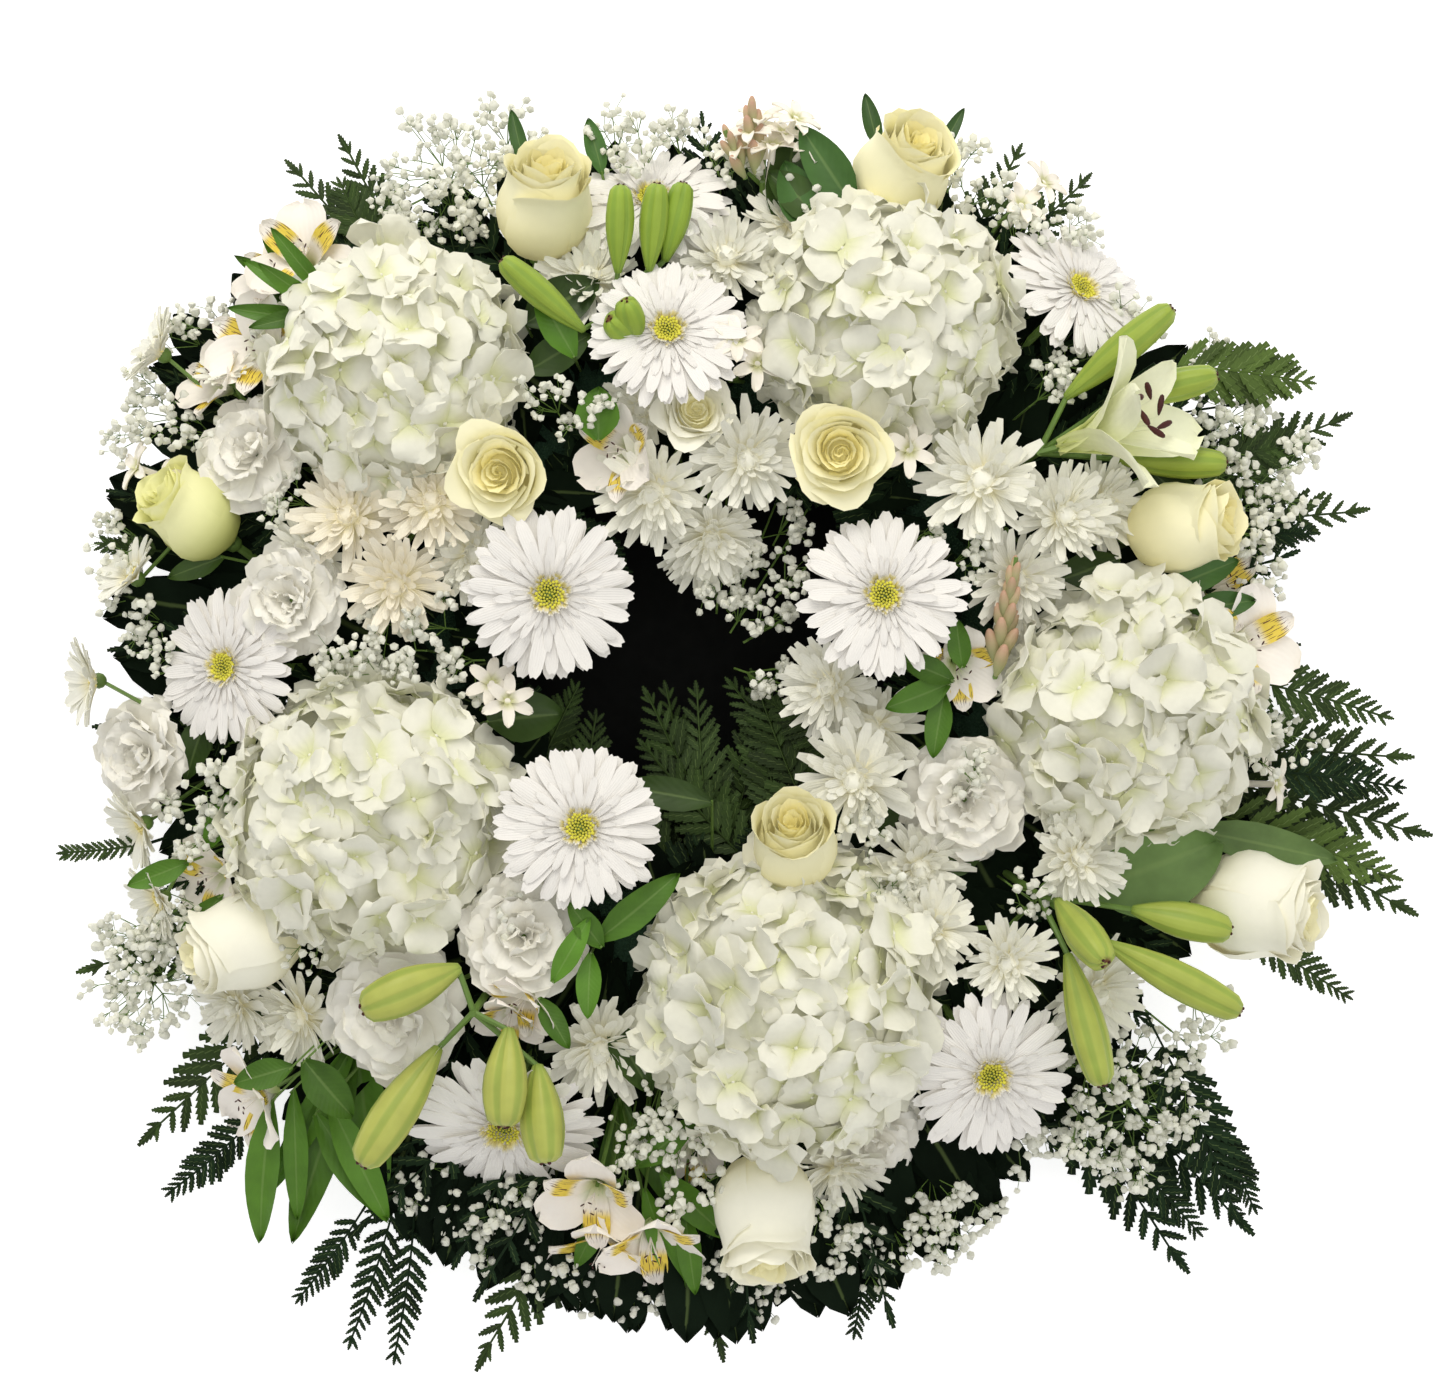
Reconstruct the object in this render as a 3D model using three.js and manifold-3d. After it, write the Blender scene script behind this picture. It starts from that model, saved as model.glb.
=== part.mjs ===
// A funeral wreath lying on its back. A black backing board carries a plastic ring tray, the tray holds a
// ring of floral foam, and every stem is pushed into the foam: hydrangeas, gerberas, roses, lilies, spray
// chrysanthemums, daisies, lisianthus, alstroemeria, tuberose, baby's breath and leatherleaf fern.
// Millimetres and degrees. +Z is the way the wreath faces, +Y its top, and the origin is the centre of the
// board's flat back. Each flower is one solid: its stem, its branches and its heads.

import * as THREE from "three";
import { mergeVertices } from "three/addons/utils/BufferGeometryUtils.js";
import Module from "manifold-3d";

const wasm = await Module();
wasm.setup();

// ---------------------------------------------------------------- driving dimensions

const RING_RADIUS = 185; // centreline of the foam ring
const FOAM_WIDTH = 84;
const FOAM_HEIGHT = 56;
const BOARD_RADIUS = 238;
const BOARD_THICKNESS = 6;
const TRAY_FLOOR = 2;
const TRAY_WALL = 2.5;
const TRAY_HEIGHT = 26;
const GAP = 0.3; // between pieces that touch
const RING_SIDES = 32;

const TRAY_BASE = BOARD_THICKNESS + GAP;
const FOAM_BASE = TRAY_BASE + TRAY_FLOOR + GAP;
const FOAM_TOP = FOAM_BASE + FOAM_HEIGHT;
const FOAM_INNER = RING_RADIUS - FOAM_WIDTH / 2;
const FOAM_OUTER = RING_RADIUS + FOAM_WIDTH / 2;

const STEM_DEPTH = 30; // how far a stem goes into the foam
const FOOT_INNER = FOAM_INNER + 12; // the band of foam that stems are pushed into
const FOOT_OUTER = FOAM_OUTER - 16;
const PETAL_GIVE = 0.4; // how far a petal stands off what it is pressed against
const CUT_TOLERANCE = 0.01; // how much the cut edges of petals are smoothed

// ---------------------------------------------------------------- materials

const finish = (color, roughness) => new THREE.MeshStandardMaterial({ color, roughness, metalness: 0 });
const BLACK_LINING = finish(0x0c0d0c, 0.55);
const TRAY_PLASTIC = finish(0x16301c, 0.45);
const WET_FOAM = finish(0x24452b, 0.95);
const HYDRANGEA_WHITE = finish(0xeef0e0, 0.7);
const GERBERA_WHITE = finish(0xf6f4f0, 0.6);
const ROSE_CREAM = finish(0xf0ecc4, 0.55);
const LILY_GREEN = finish(0xb4c86a, 0.45);
const MUM_WHITE = finish(0xeeece4, 0.65);
const LISIANTHUS_WHITE = finish(0xf2f0f2, 0.6);
const ALSTROEMERIA_WHITE = finish(0xf2e8dc, 0.55);
const TUBEROSE_WHITE = finish(0xf0dfcf, 0.55);
const BREATH_WHITE = finish(0xf4f4ee, 0.8);
const FERN_GREEN = finish(0x33522f, 0.6);

// ---------------------------------------------------------------- solids and placing

const radians = THREE.MathUtils.degToRad;

// A closed geometry as a solid. A lathe's winding depends on its profile, so an inside-out one is turned.
function solidOf(geometry) {
  const loose = geometry.index ? geometry.toNonIndexed() : geometry;
  const points = new THREE.BufferGeometry().setAttribute("position", loose.getAttribute("position"));
  const merged = mergeVertices(points, 1e-3);
  const triVerts = new Uint32Array(merged.index.array);
  const build = () =>
    new wasm.Manifold(
      new wasm.Mesh({ numProp: 3, vertProperties: merged.attributes.position.array, triVerts }),
    );
  const made = build();
  if (made.volume() > 0) return made;
  for (let i = 0; i < triVerts.length; i += 3) {
    [triVerts[i + 1], triVerts[i + 2]] = [triVerts[i + 2], triVerts[i + 1]];
  }
  return build();
}

const joined = (solids) => solids.reduce((whole, solid) => whole.add(solid));

// The unit vector that leans `tilt` degrees from +Z towards `azimuth`, counted from +X towards +Y.
function direction(azimuth, tilt) {
  const [a, t] = [radians(azimuth), radians(tilt)];
  return new THREE.Vector3(Math.cos(a) * Math.sin(t), Math.sin(a) * Math.sin(t), Math.cos(t));
}

// The solid of a geometry made around +Z, spun about itself and set at `at` to look along `axis`.
function posed(geometry, at, axis, spin = 0) {
  const up = new THREE.Vector3(0, 0, 1);
  const turn = new THREE.Quaternion().setFromUnitVectors(up, axis);
  turn.multiply(new THREE.Quaternion().setFromAxisAngle(up, radians(spin)));
  const place = new THREE.Matrix4().compose(at, turn, new THREE.Vector3(1, 1, 1));
  return solidOf(geometry).transform(place.elements);
}

// A stem or branch through the given points: square, or three-sided where it is thin.
function tube(points, radius, steps = points.length - 1) {
  const sides = radius < 3 ? 3 : 4;
  const section = new THREE.Shape();
  for (let i = 0; i < sides; i++) {
    const a = (i / sides) * 2 * Math.PI;
    const corner = [radius * Math.cos(a), radius * Math.sin(a)];
    if (i === 0) section.moveTo(...corner);
    else section.lineTo(...corner);
  }
  const extrudePath = new THREE.CatmullRomCurve3(points);
  return new THREE.ExtrudeGeometry(section, { steps, extrudePath, bevelEnabled: false });
}

// The end of a stem inside the foam, below a head that stands at `at`.
function foot(at, azimuth, radius) {
  const a = azimuth === undefined ? Math.atan2(at.y, at.x) : radians(azimuth);
  const r = radius ?? THREE.MathUtils.clamp(Math.hypot(at.x, at.y), FOOT_INNER, FOOT_OUTER);
  return new THREE.Vector3(r * Math.cos(a), r * Math.sin(a), FOAM_TOP - STEM_DEPTH);
}

// ---------------------------------------------------------------- shapes, each around +Z

// A solid of revolution. `shape(angle, r, z)` may return a new [r, z], so that petals get their lobes.
function turned(profile, sides, shape) {
  const points = profile.map(([r, z]) => new THREE.Vector2(r, z));
  const geometry = new THREE.LatheGeometry(points, sides).rotateX(Math.PI / 2);
  if (!shape) return geometry;
  const p = geometry.getAttribute("position");
  for (let i = 0; i < p.count; i++) {
    const [x, y] = [p.getX(i), p.getY(i)];
    const angle = Math.atan2(x, -y); // the lathe starts at -Y
    const [r, z] = shape(angle, Math.hypot(x, y), p.getZ(i));
    p.setXYZ(i, r * Math.sin(angle), -r * Math.cos(angle), z);
  }
  return geometry;
}

// A whorl of petals round a low eye, as on a gerbera or a daisy. A cup below 0 turns the petals back.
function daisyHead({ radius, petals, cup }) {
  const [thick, notch] = [1.6, 0.72];
  const profile = [
    [0, -radius * 0.1],
    [radius, cup],
    [radius * 0.97, cup + thick],
    [0, radius * 0.12],
  ];
  return turned(profile, petals * 2, (angle, r, z) => {
    const between = Math.round((angle / Math.PI) * petals) % 2 !== 0;
    return [between && r > radius * 0.5 ? r * notch : r, z];
  });
}

// A spray chrysanthemum: a low dome of many petals with a ragged rim.
function mumHead({ radius }) {
  const [petals, notch] = [8, 0.78];
  const profile = [
    [0, -radius * 0.4],
    [radius, -radius * 0.05],
    [radius * 0.78, radius * 0.3],
    [0, radius * 0.42],
  ];
  return turned(profile, petals * 2, (angle, r, z) => {
    const between = Math.round((angle / Math.PI) * petals) % 2 !== 0;
    return [between && r > radius * 0.5 ? r * notch : r, z];
  });
}

// A rose: a full cup, five outer petals that flare at the rim, and a coned heart.
function roseHead({ radius, length }) {
  const profile = [
    [0, -length * 0.5],
    [radius * 0.55, -length * 0.44],
    [radius * 0.98, -length * 0.08],
    [radius, length * 0.34],
    [radius * 0.62, length * 0.4],
    [0, length * 0.5],
  ];
  return turned(profile, 10, (angle, r, z) => {
    const flare = z > 0 && r > radius * 0.9 ? 0.09 * Math.cos(5 * angle) : 0;
    return [r * (1 + flare), z];
  });
}

// A hydrangea: a full round head, flattened below, with the swell of its florets.
function hydrangeaHead({ radius }) {
  const [bumps, swell, flat] = [7, 0.035, 0.62];
  const geometry = new THREE.IcosahedronGeometry(radius, 2);
  const p = geometry.getAttribute("position");
  for (let i = 0; i < p.count; i++) {
    const v = new THREE.Vector3().fromBufferAttribute(p, i);
    const [a, b] = [Math.atan2(v.y, v.x), v.z / radius];
    v.multiplyScalar(1 + swell * Math.sin(bumps * a + 5 * b) * Math.cos(bumps * b) * (1 - b * b));
    if (v.z < 0) v.z *= flat;
    p.setXYZ(i, v.x, v.y, v.z);
  }
  return geometry;
}

// A ruffled bloom, as of lisianthus: a bowl with a waved rim and a filled middle.
function ruffledHead({ radius }) {
  const waves = 4;
  const profile = [
    [0, -radius * 0.62],
    [radius * 0.6, -radius * 0.4],
    [radius, radius * 0.16],
    [radius * 0.85, radius * 0.32],
    [0, radius * 0.2],
  ];
  return turned(profile, 12, (angle, r, z) => {
    const wave = r > radius * 0.8 ? Math.sin(waves * angle) : 0;
    return [r * (1 + 0.05 * wave), z + radius * 0.07 * wave];
  });
}

// A trumpet of six petals with a hollow mouth, as of lily, alstroemeria and tuberose.
function trumpetHead({ radius, length, throat }) {
  const notch = 0.7;
  const profile = [
    [0, -length * 0.5],
    [throat, -length * 0.3],
    [radius, length * 0.5],
    [0, -length * 0.02],
  ];
  return turned(profile, 12, (angle, r, z) => {
    const between = Math.round((angle / Math.PI) * 6) % 2 !== 0;
    if (!between || z < length * 0.4) return [r, z];
    return [r * notch, z - length * 0.2];
  });
}

// A closed lily bud: three ridges, a narrow base and a blunt tip.
function lilyBud({ radius, length }) {
  const profile = [
    [0, -length * 0.5],
    [radius * 0.55, -length * 0.36],
    [radius, length * 0.05],
    [radius * 0.7, length * 0.42],
    [0, length * 0.5],
  ];
  return turned(profile, 6, (angle, r, z) => [r * (1 + 0.08 * Math.cos(3 * angle)), z]);
}

// A flat outline from (0, 0) along +X, given its half widths, thickened and then bent down along its length.
function leafOf(outline, length, { thick = 1.4, rise = 0, droop = 0 }) {
  const shape = new THREE.Shape(outline.map(([x, y]) => new THREE.Vector2(x, y)));
  const geometry = new THREE.ExtrudeGeometry(shape, { depth: thick, bevelEnabled: false });
  const p = geometry.getAttribute("position");
  for (let i = 0; i < p.count; i++) {
    const t = p.getX(i) / length;
    p.setZ(i, p.getZ(i) + rise * Math.max(t, 0) - droop * t * t);
  }
  return geometry;
}

// A lance-shaped leaf.
function blade({ length, width, ...bend }) {
  const steps = 5;
  const side = (s) =>
    Array.from({ length: steps - 1 }, (_, i) => {
      const t = (i + 1) / steps;
      return [length * t, s * 0.5 * width * Math.sin(Math.PI * t ** 0.8)];
    });
  const outline = [[0, -1.2], ...side(-1), [length, 0], ...side(1).reverse(), [0, 1.2]];
  return leafOf(outline, length, bend);
}

// A fern frond: pinnae that lean forward on both sides of a stalk, longest a third of the way along.
function frond({ length, width, pairs = 4, ...bend }) {
  const [stalk, bare] = [1.6, 0.2];
  const pitch = (length * (1 - bare)) / (pairs + 0.5);
  const side = (s) => {
    const points = [[0, s * stalk]];
    for (let i = 0; i < pairs; i++) {
      const root = length * bare + pitch * i;
      const reach = 0.5 * width * Math.sin(Math.PI * (0.3 + (0.66 * i) / pairs));
      points.push([root, s * stalk], [root + pitch * 0.9, s * (stalk + reach)]);
    }
    return points;
  };
  const tip = [[length * bare + pitch * pairs, -stalk], [length, 0], [length * bare + pitch * pairs, stalk]];
  return leafOf([...side(-1), ...tip, ...side(1).reverse()], length, bend);
}

// A leaf or frond laid from `at` towards `azimuth`, rolled about its own midrib.
function laid(geometry, at, azimuth, roll = 0) {
  return solidOf(geometry).rotate([roll, 0, 0]).rotate([0, 0, azimuth]).translate([at.x, at.y, at.z]);
}

// ---------------------------------------------------------------- flowers

// One head on its stem. `back` is how far the stem's end lies behind the head's centre.
function flower({ head, at, face, spin = 0, back, stem = 2.6, from = [] }) {
  const [centre, axis] = [new THREE.Vector3(...at), direction(...face)];
  const neck = centre.clone().addScaledVector(axis, -back);
  const knee = neck.clone().addScaledVector(axis, -20);
  return {
    heads: [posed(head, centre, axis, spin)],
    stems: [solidOf(tube([foot(centre, ...from), knee, neck], stem))],
  };
}

// Several heads on branches of one stem. The stem rises from the foam under `fork`.
function spray({ fork, stem = 2.4, branch = 1.6, from = [], heads = [], leaves = [] }) {
  const top = new THREE.Vector3(...fork);
  const made = { heads: [], stems: [solidOf(tube([foot(top, ...from), top], stem))] };
  for (const { shape, at, face, spin = 0, back } of heads) {
    const [centre, axis] = [new THREE.Vector3(...at), direction(...face)];
    const neck = centre.clone().addScaledVector(axis, -back);
    const low = top.clone().lerp(new THREE.Vector3(top.x, top.y, FOAM_TOP), 0.15);
    made.heads.push(posed(shape, centre, axis, spin));
    made.stems.push(solidOf(tube([low, neck], branch)));
  }
  for (const { shape, at, azimuth, roll } of leaves) {
    const root = at ? new THREE.Vector3(...at) : top;
    made.heads.push(laid(shape, root, azimuth, roll));
    if (at) made.stems.push(solidOf(tube([top, root.clone().lerp(top, -0.06)], branch)));
  }
  return made;
}

const ROSE = { radius: 29, length: 58 };
const ROSES = [
  { at: [-99, 268, 108], face: [78, 48] },
  { at: [113, 287, 104], face: [62, 42] },
  { at: [276, 79, 112], face: [8, 58] },
  { at: [74, 121, 158], face: [250, 6] },
  { at: [-121, 109, 158], face: [240, 10] },
  { at: [-309, 87, 96], face: [142, 55] },
  { at: [48, -106, 158], face: [105, 32] },
  { at: [322, -146, 96], face: [-8, 66] },
  { at: [31, -328, 100], face: [-86, 56] },
  { at: [-276, -166, 106], face: [196, 60] },
];

const GERBERAS = [
  { at: [-94, 38, 150], face: [-20, 10], radius: 52 },
  { at: [99, 37, 150], face: [100, 8], radius: 50 },
  { at: [-76, -97, 150], face: [60, 8], radius: 50 },
  { at: [-286, -4, 112], face: [175, 28], radius: 50 },
  { at: [163, -243, 122], face: [-55, 18], radius: 52 },
  { at: [-123, -276, 106], face: [-98, 42], radius: 55 },
  { at: [-26, 190, 142], face: [80, 20], radius: 46 },
  { at: [-36, 274, 92], face: [96, 50], radius: 46 },
  { at: [218, 220, 94], face: [46, 44], radius: 46 },
];

const HYDRANGEAS = [
  { at: [-188, 170, 108], radius: 72 },
  { at: [101, 199, 108], radius: 72 },
  { at: [244, -30, 108], radius: 72 },
  { at: [46, -200, 112], radius: 86 },
  { at: [-203, -92, 110], radius: 80 },
];

const mum = (at, face, radius) => ({ shape: mumHead({ radius }), at, face, back: radius * 0.3 });
const MUM_SPRAYS = [
  {
    fork: [-186, 66, 84],
    heads: [mum([-212, 84, 124], [150, 12], 29), mum([-163, 92, 130], [80, 8], 28), mum([-184, 44, 128], [250, 14], 28)],
  },
  {
    fork: [-6, 150, 84],
    heads: [mum([-34, 100, 118], [250, 24], 31), mum([20, 118, 122], [300, 14], 30), mum([0, 74, 104], [270, 34], 27)],
  },
  {
    fork: [176, 82, 84],
    heads: [mum([158, 104, 130], [140, 8], 33), mum([205, 84, 124], [20, 14], 28), mum([178, 48, 122], [290, 14], 27)],
  },
  {
    fork: [140, -46, 80],
    heads: [mum([70, -16, 108], [170, 24], 28), mum([84, -70, 128], [200, 12], 31)],
  },
  {
    fork: [178, -160, 80],
    heads: [mum([128, -158, 124], [160, 10], 27), mum([172, -176, 130], [250, 10], 25), mum([214, -116, 124], [20, 14], 27)],
  },
];

const daisy = (at, face, radius) => ({
  shape: daisyHead({ radius, petals: 8, cup: radius * 0.35 }),
  at,
  face,
  back: radius * 0.08,
});
const DAISY_SPRAYS = [
  {
    fork: [-268, 132, 74],
    from: [157],
    heads: [daisy([-330, 184, 84], [148, 72], 25), daisy([-288, 170, 92], [110, 58], 18), daisy([-346, 50, 82], [140, 68], 22)],
  },
  {
    fork: [-286, -58, 64],
    from: [194],
    heads: [daisy([-372, -12, 80], [184, 74], 25), daisy([-342, -98, 78], [208, 66], 24), daisy([-330, -142, 84], [205, 60], 24)],
  },
];

const ruffled = (at, face, radius) => ({ shape: ruffledHead({ radius }), at, face, back: radius * 0.5 });
const LISIANTHUS = [
  { fork: [-252, 82, 76], heads: [ruffled([-276, 128, 106], [150, 30], 27), ruffled([-250, 36, 128], [170, 14], 31)] },
  { fork: [-296, -52, 76], from: [184], heads: [ruffled([-346, -58, 92], [186, 40], 33)] },
  {
    fork: [-140, -186, 86],
    heads: [ruffled([-109, -160, 140], [60, 8], 34), ruffled([-187, -208, 124], [230, 18], 37)],
  },
  { fork: [80, -262, 70], from: [-72, 206], heads: [ruffled([94, -290, 92], [-70, 34], 34)] },
  { fork: [144, -84, 76], heads: [ruffled([150, -84, 124], [300, 8], 36)] },
];

const bloom = (at, face) => ({
  shape: trumpetHead({ radius: 25, length: 34, throat: 7 }),
  at,
  face,
  back: 12,
});
const leaf = (azimuth, length, width, bend = {}, at) => ({
  shape: blade({ length, width, ...bend }),
  azimuth,
  at,
});
const ALSTROEMERIAS = [
  {
    fork: [-238, 214, 78],
    from: [139],
    heads: [bloom([-244, 243, 104], [112, 36]), bloom([-270, 186, 108], [160, 34])],
    leaves: [leaf(150, 58, 12, { rise: 26 }), leaf(128, 52, 11, { rise: 18 }), leaf(170, 50, 11, { rise: 10 })],
  },
  {
    fork: [276, 22, 64],
    from: [8, 212],
    heads: [bloom([322, 8, 102], [0, 36]), bloom([306, 46, 92], [22, 54])],
    leaves: [leaf(30, 62, 16, { rise: 12 })],
  },
  {
    fork: [-56, -262, 68],
    from: [-104, 206],
    heads: [bloom([-72, -322, 100], [-112, 34]), bloom([-36, -352, 92], [-84, 50]), bloom([-68, -360, 76], [-104, 60])],
    leaves: [leaf(-62, 84, 20, { rise: 14 }), leaf(-96, 118, 18, { rise: 10, droop: 24 })],
  },
  {
    fork: [-214, -228, 74],
    from: [227, 206],
    heads: [bloom([-278, -264, 92], [206, 58])],
    leaves: [
      leaf(252, 132, 26, { rise: 30, droop: 44 }),
      leaf(240, 110, 18, { rise: 34, droop: 40 }),
      leaf(276, 112, 30, { rise: 6, droop: 20 }),
    ],
  },
];

const bud = (at, face, length) => ({ shape: lilyBud({ radius: 10, length }), at, face, back: length * 0.46 });
const LILIES = [
  {
    fork: [192, 122, 116],
    from: [33, 205],
    heads: [
      bud([236, 178, 138], [40, 74], 82),
      bud([266, 160, 122], [12, 78], 66),
      bud([272, 118, 104], [-3, 82], 66),
      { shape: trumpetHead({ radius: 34, length: 84, throat: 9 }), at: [240, 134, 146], face: [16, 66], back: 38 },
    ],
  },
  {
    fork: [192, -138, 118],
    from: [-36, 200],
    heads: [
      bud([212, -156, 154], [-56, 44], 66),
      bud([274, -152, 128], [-12, 80], 60),
      bud([268, -184, 138], [-27, 80], 88),
      bud([216, -208, 142], [-76, 80], 82),
    ],
  },
  {
    fork: [-138, -204, 142],
    from: [236, 190],
    heads: [
      bud([-172, -188, 162], [202, 78], 62),
      bud([-180, -258, 144], [237, 78], 84),
      bud([-114, -246, 154], [-92, 76], 60),
    ],
  },
  {
    fork: [-58, 206, 108],
    from: [107, 186],
    heads: [bud([-52, 250, 138], [91, 78], 58), bud([-30, 256, 130], [84, 78], 54), bud([-97, 210, 150], [143, 76], 62)],
  },
];

const horn = (at, face) => ({ shape: trumpetHead({ radius: 12, length: 38, throat: 4 }), at, face, back: 15 });
const TUBEROSE = {
  fork: [30, 284, 92],
  from: [82, 208],
  heads: [horn([46, 306, 108], [60, 48]), horn([30, 318, 100], [95, 56]), horn([14, 300, 112], [128, 40])],
};

// Baby's breath: a branching sprig that carries round blossoms. The golden angle spreads them over the top.
const GOLDEN_ANGLE = 137.5;
function breath({ fork, from, reach, blossoms, lift = 26 }) {
  const heads = Array.from({ length: blossoms }, (_, i) => {
    const azimuth = i * GOLDEN_ANGLE;
    const r = reach * Math.sqrt((i + 0.6) / blossoms);
    const at = new THREE.Vector3(...fork).add(direction(azimuth, 90).multiplyScalar(r));
    at.z += lift * (1.2 - r / reach);
    return { shape: new THREE.OctahedronGeometry(7.5, 0), at: at.toArray(), face: [azimuth, 50], back: 3 };
  });
  return { fork, from, heads, stem: 2, branch: 1.1 };
}
const BREATHS = [
  { fork: [-158, 290, 70], from: [120], reach: 44, blossoms: 7 },
  { fork: [318, 116, 66], from: [20], reach: 48, blossoms: 8 },
  { fork: [252, -268, 62], from: [-47], reach: 50, blossoms: 8 },
  { fork: [-340, -196, 56], from: [210], reach: 40, blossoms: 7, lift: 16 },
];

// Fern: one or more fronds from a shared foot in the side of the foam, or in its inner side for the middle.
const FERNS = [
  { foot: [128, 218], fronds: [[121, 152], [134, 158]] },
  { foot: [56, 218], fronds: [[64, 128], [46, 136]] },
  { foot: [17, 218], fronds: [[26, 176], [8, 168]] },
  { foot: [-14, 218], fronds: [[-1, 190], [-13, 204], [-27, 210]] },
  { foot: [-50, 218], fronds: [[-44, 234], [-54, 224]] },
  { foot: [-99, 218], fronds: [[-78, 190], [-118, 214]] },
  { foot: [214, 218], fronds: [[226, 214], [197, 190]] },
  { foot: [-88, 158], fronds: [[104, 126], [76, 132], [50, 110], [136, 112]] },
];

function fern({ foot: [azimuth, radius], fronds }) {
  const inwards = radius < RING_RADIUS;
  const out = direction(azimuth, 90).multiplyScalar(inwards ? -1 : 1);
  const root = direction(azimuth, 90).multiplyScalar(radius).setZ(FOAM_BASE + 34);
  const mouth = root.clone().addScaledVector(out, 20);
  const end = root.clone().addScaledVector(out, -12);
  return {
    stems: [solidOf(tube([end, mouth], 2.2))],
    heads: fronds.map(([towards, length], i) => {
      const shape = frond({ length, width: length * 0.42, rise: 10 + 5 * i, droop: inwards ? 4 : 16 });
      return laid(shape, mouth.clone().addScaledVector(out, -3), towards, i % 2 ? 10 : -10);
    }),
  };
}

// ---------------------------------------------------------------- base: board, tray and foam

const backBoard = solidOf(
  turned([[0, 0], [BOARD_RADIUS, 0], [BOARD_RADIUS, BOARD_THICKNESS], [0, BOARD_THICKNESS]], RING_SIDES),
);

// A ring around Z from a closed profile.
const ring = (profile) => solidOf(turned([...profile, profile[0]], RING_SIDES));

const trayTop = TRAY_BASE + TRAY_HEIGHT;
const [trayIn, trayOut] = [FOAM_INNER - GAP, FOAM_OUTER + GAP];
const ringTray = ring([
  [trayIn - TRAY_WALL, TRAY_BASE],
  [trayOut + TRAY_WALL, TRAY_BASE],
  [trayOut + TRAY_WALL, trayTop],
  [trayOut, trayTop],
  [trayOut, TRAY_BASE + TRAY_FLOOR],
  [trayIn, TRAY_BASE + TRAY_FLOOR],
  [trayIn, trayTop],
  [trayIn - TRAY_WALL, trayTop],
]);

const foamEdge = 8; // chamfer on the foam's upper edges
const foamRing = ring([
  [FOAM_INNER, FOAM_BASE],
  [FOAM_OUTER, FOAM_BASE],
  [FOAM_OUTER, FOAM_TOP - foamEdge],
  [FOAM_OUTER - foamEdge, FOAM_TOP],
  [FOAM_INNER + foamEdge, FOAM_TOP],
  [FOAM_INNER, FOAM_TOP - foamEdge],
]);

// ---------------------------------------------------------------- planting

const plan = [];
const plant = (kind, rows, material, make) =>
  rows.forEach((row, i) => plan.push({ name: `${kind}_${i + 1}`, material, ...make(row) }));

plant("rose", ROSES, ROSE_CREAM, (row) => flower({ head: roseHead(ROSE), back: 27, stem: 3.2, ...row }));
plant("lily_stem", LILIES, LILY_GREEN, spray);
plant("gerbera", GERBERAS, GERBERA_WHITE, (row) =>
  flower({ head: daisyHead({ radius: row.radius, petals: 12, cup: row.radius * 0.1 }), back: 3, ...row }),
);
plant("lisianthus", LISIANTHUS, LISIANTHUS_WHITE, spray);
plant("alstroemeria", ALSTROEMERIAS, ALSTROEMERIA_WHITE, spray);
plant("tuberose", [TUBEROSE], TUBEROSE_WHITE, spray);
plant("mum_spray", MUM_SPRAYS, MUM_WHITE, spray);
plant("daisy_spray", DAISY_SPRAYS, MUM_WHITE, spray);
plant("hydrangea", HYDRANGEAS, HYDRANGEA_WHITE, (row) =>
  flower({ head: hydrangeaHead(row), face: [0, 0], back: row.radius * 0.3, stem: 3.6, ...row }),
);
plant("babys_breath", BREATHS, BREATH_WHITE, (row) => spray(breath(row)));
plant("fern", FERNS, FERN_GREEN, fern);

// A solid pushed outwards by `by`, along its corners' normals: the room that its neighbours leave it.
function grown(solid, by) {
  const mesh = solid.getMesh();
  const geometry = new THREE.BufferGeometry();
  geometry.setAttribute("position", new THREE.BufferAttribute(mesh.vertProperties.slice(), 3));
  geometry.setIndex(new THREE.BufferAttribute(mesh.triVerts, 1));
  geometry.computeVertexNormals();
  const [p, n] = [geometry.getAttribute("position"), geometry.getAttribute("normal")];
  for (let i = 0; i < p.count; i++) {
    p.setXYZ(i, p.getX(i) + by * n.getX(i), p.getY(i) + by * n.getY(i), p.getZ(i) + by * n.getZ(i));
  }
  const pushed = new wasm.Mesh({ numProp: 3, vertProperties: p.array, triVerts: mesh.triVerts });
  return new wasm.Manifold(pushed).add(solid);
}

function nearby(a, b) {
  const [p, q] = [a.boundingBox(), b.boundingBox()];
  return [0, 1, 2].every((i) => p.min[i] < q.max[i] && q.min[i] < p.max[i]);
}

// What is left of a soft solid once it gives way to others, without the bits that this cuts off.
function givingWay(solid, others) {
  const kept = others.filter((other) => nearby(solid, other)).reduce((rest, other) => rest.subtract(other), solid);
  return kept.decompose().sort((a, b) => b.volume() - a.volume())[0];
}

// Every head gives way to all the stems, to the base and to the heads planted before it.
const stemRoom = plan.map(({ stems }) => grown(joined(stems), PETAL_GIVE));
const baseRoom = [backBoard, ringTray, foamRing].map((solid) => grown(solid, PETAL_GIVE));
const headRoom = [];
plan.forEach((flower, i) => {
  const stemsAround = stemRoom.filter((_, j) => j !== i);
  const stem = givingWay(joined(flower.stems), stemRoom.slice(0, i));
  const heads = flower.heads.map((head) => givingWay(head, [...baseRoom, ...stemsAround, ...headRoom]));
  headRoom.push(...heads.map((head) => grown(head, PETAL_GIVE)));
  flower.solid = givingWay(joined([stem, ...heads]).simplify(CUT_TOLERANCE), []);
});
const plantedFoam = givingWay(foamRing, stemRoom);

// ---------------------------------------------------------------- the wreath

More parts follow.
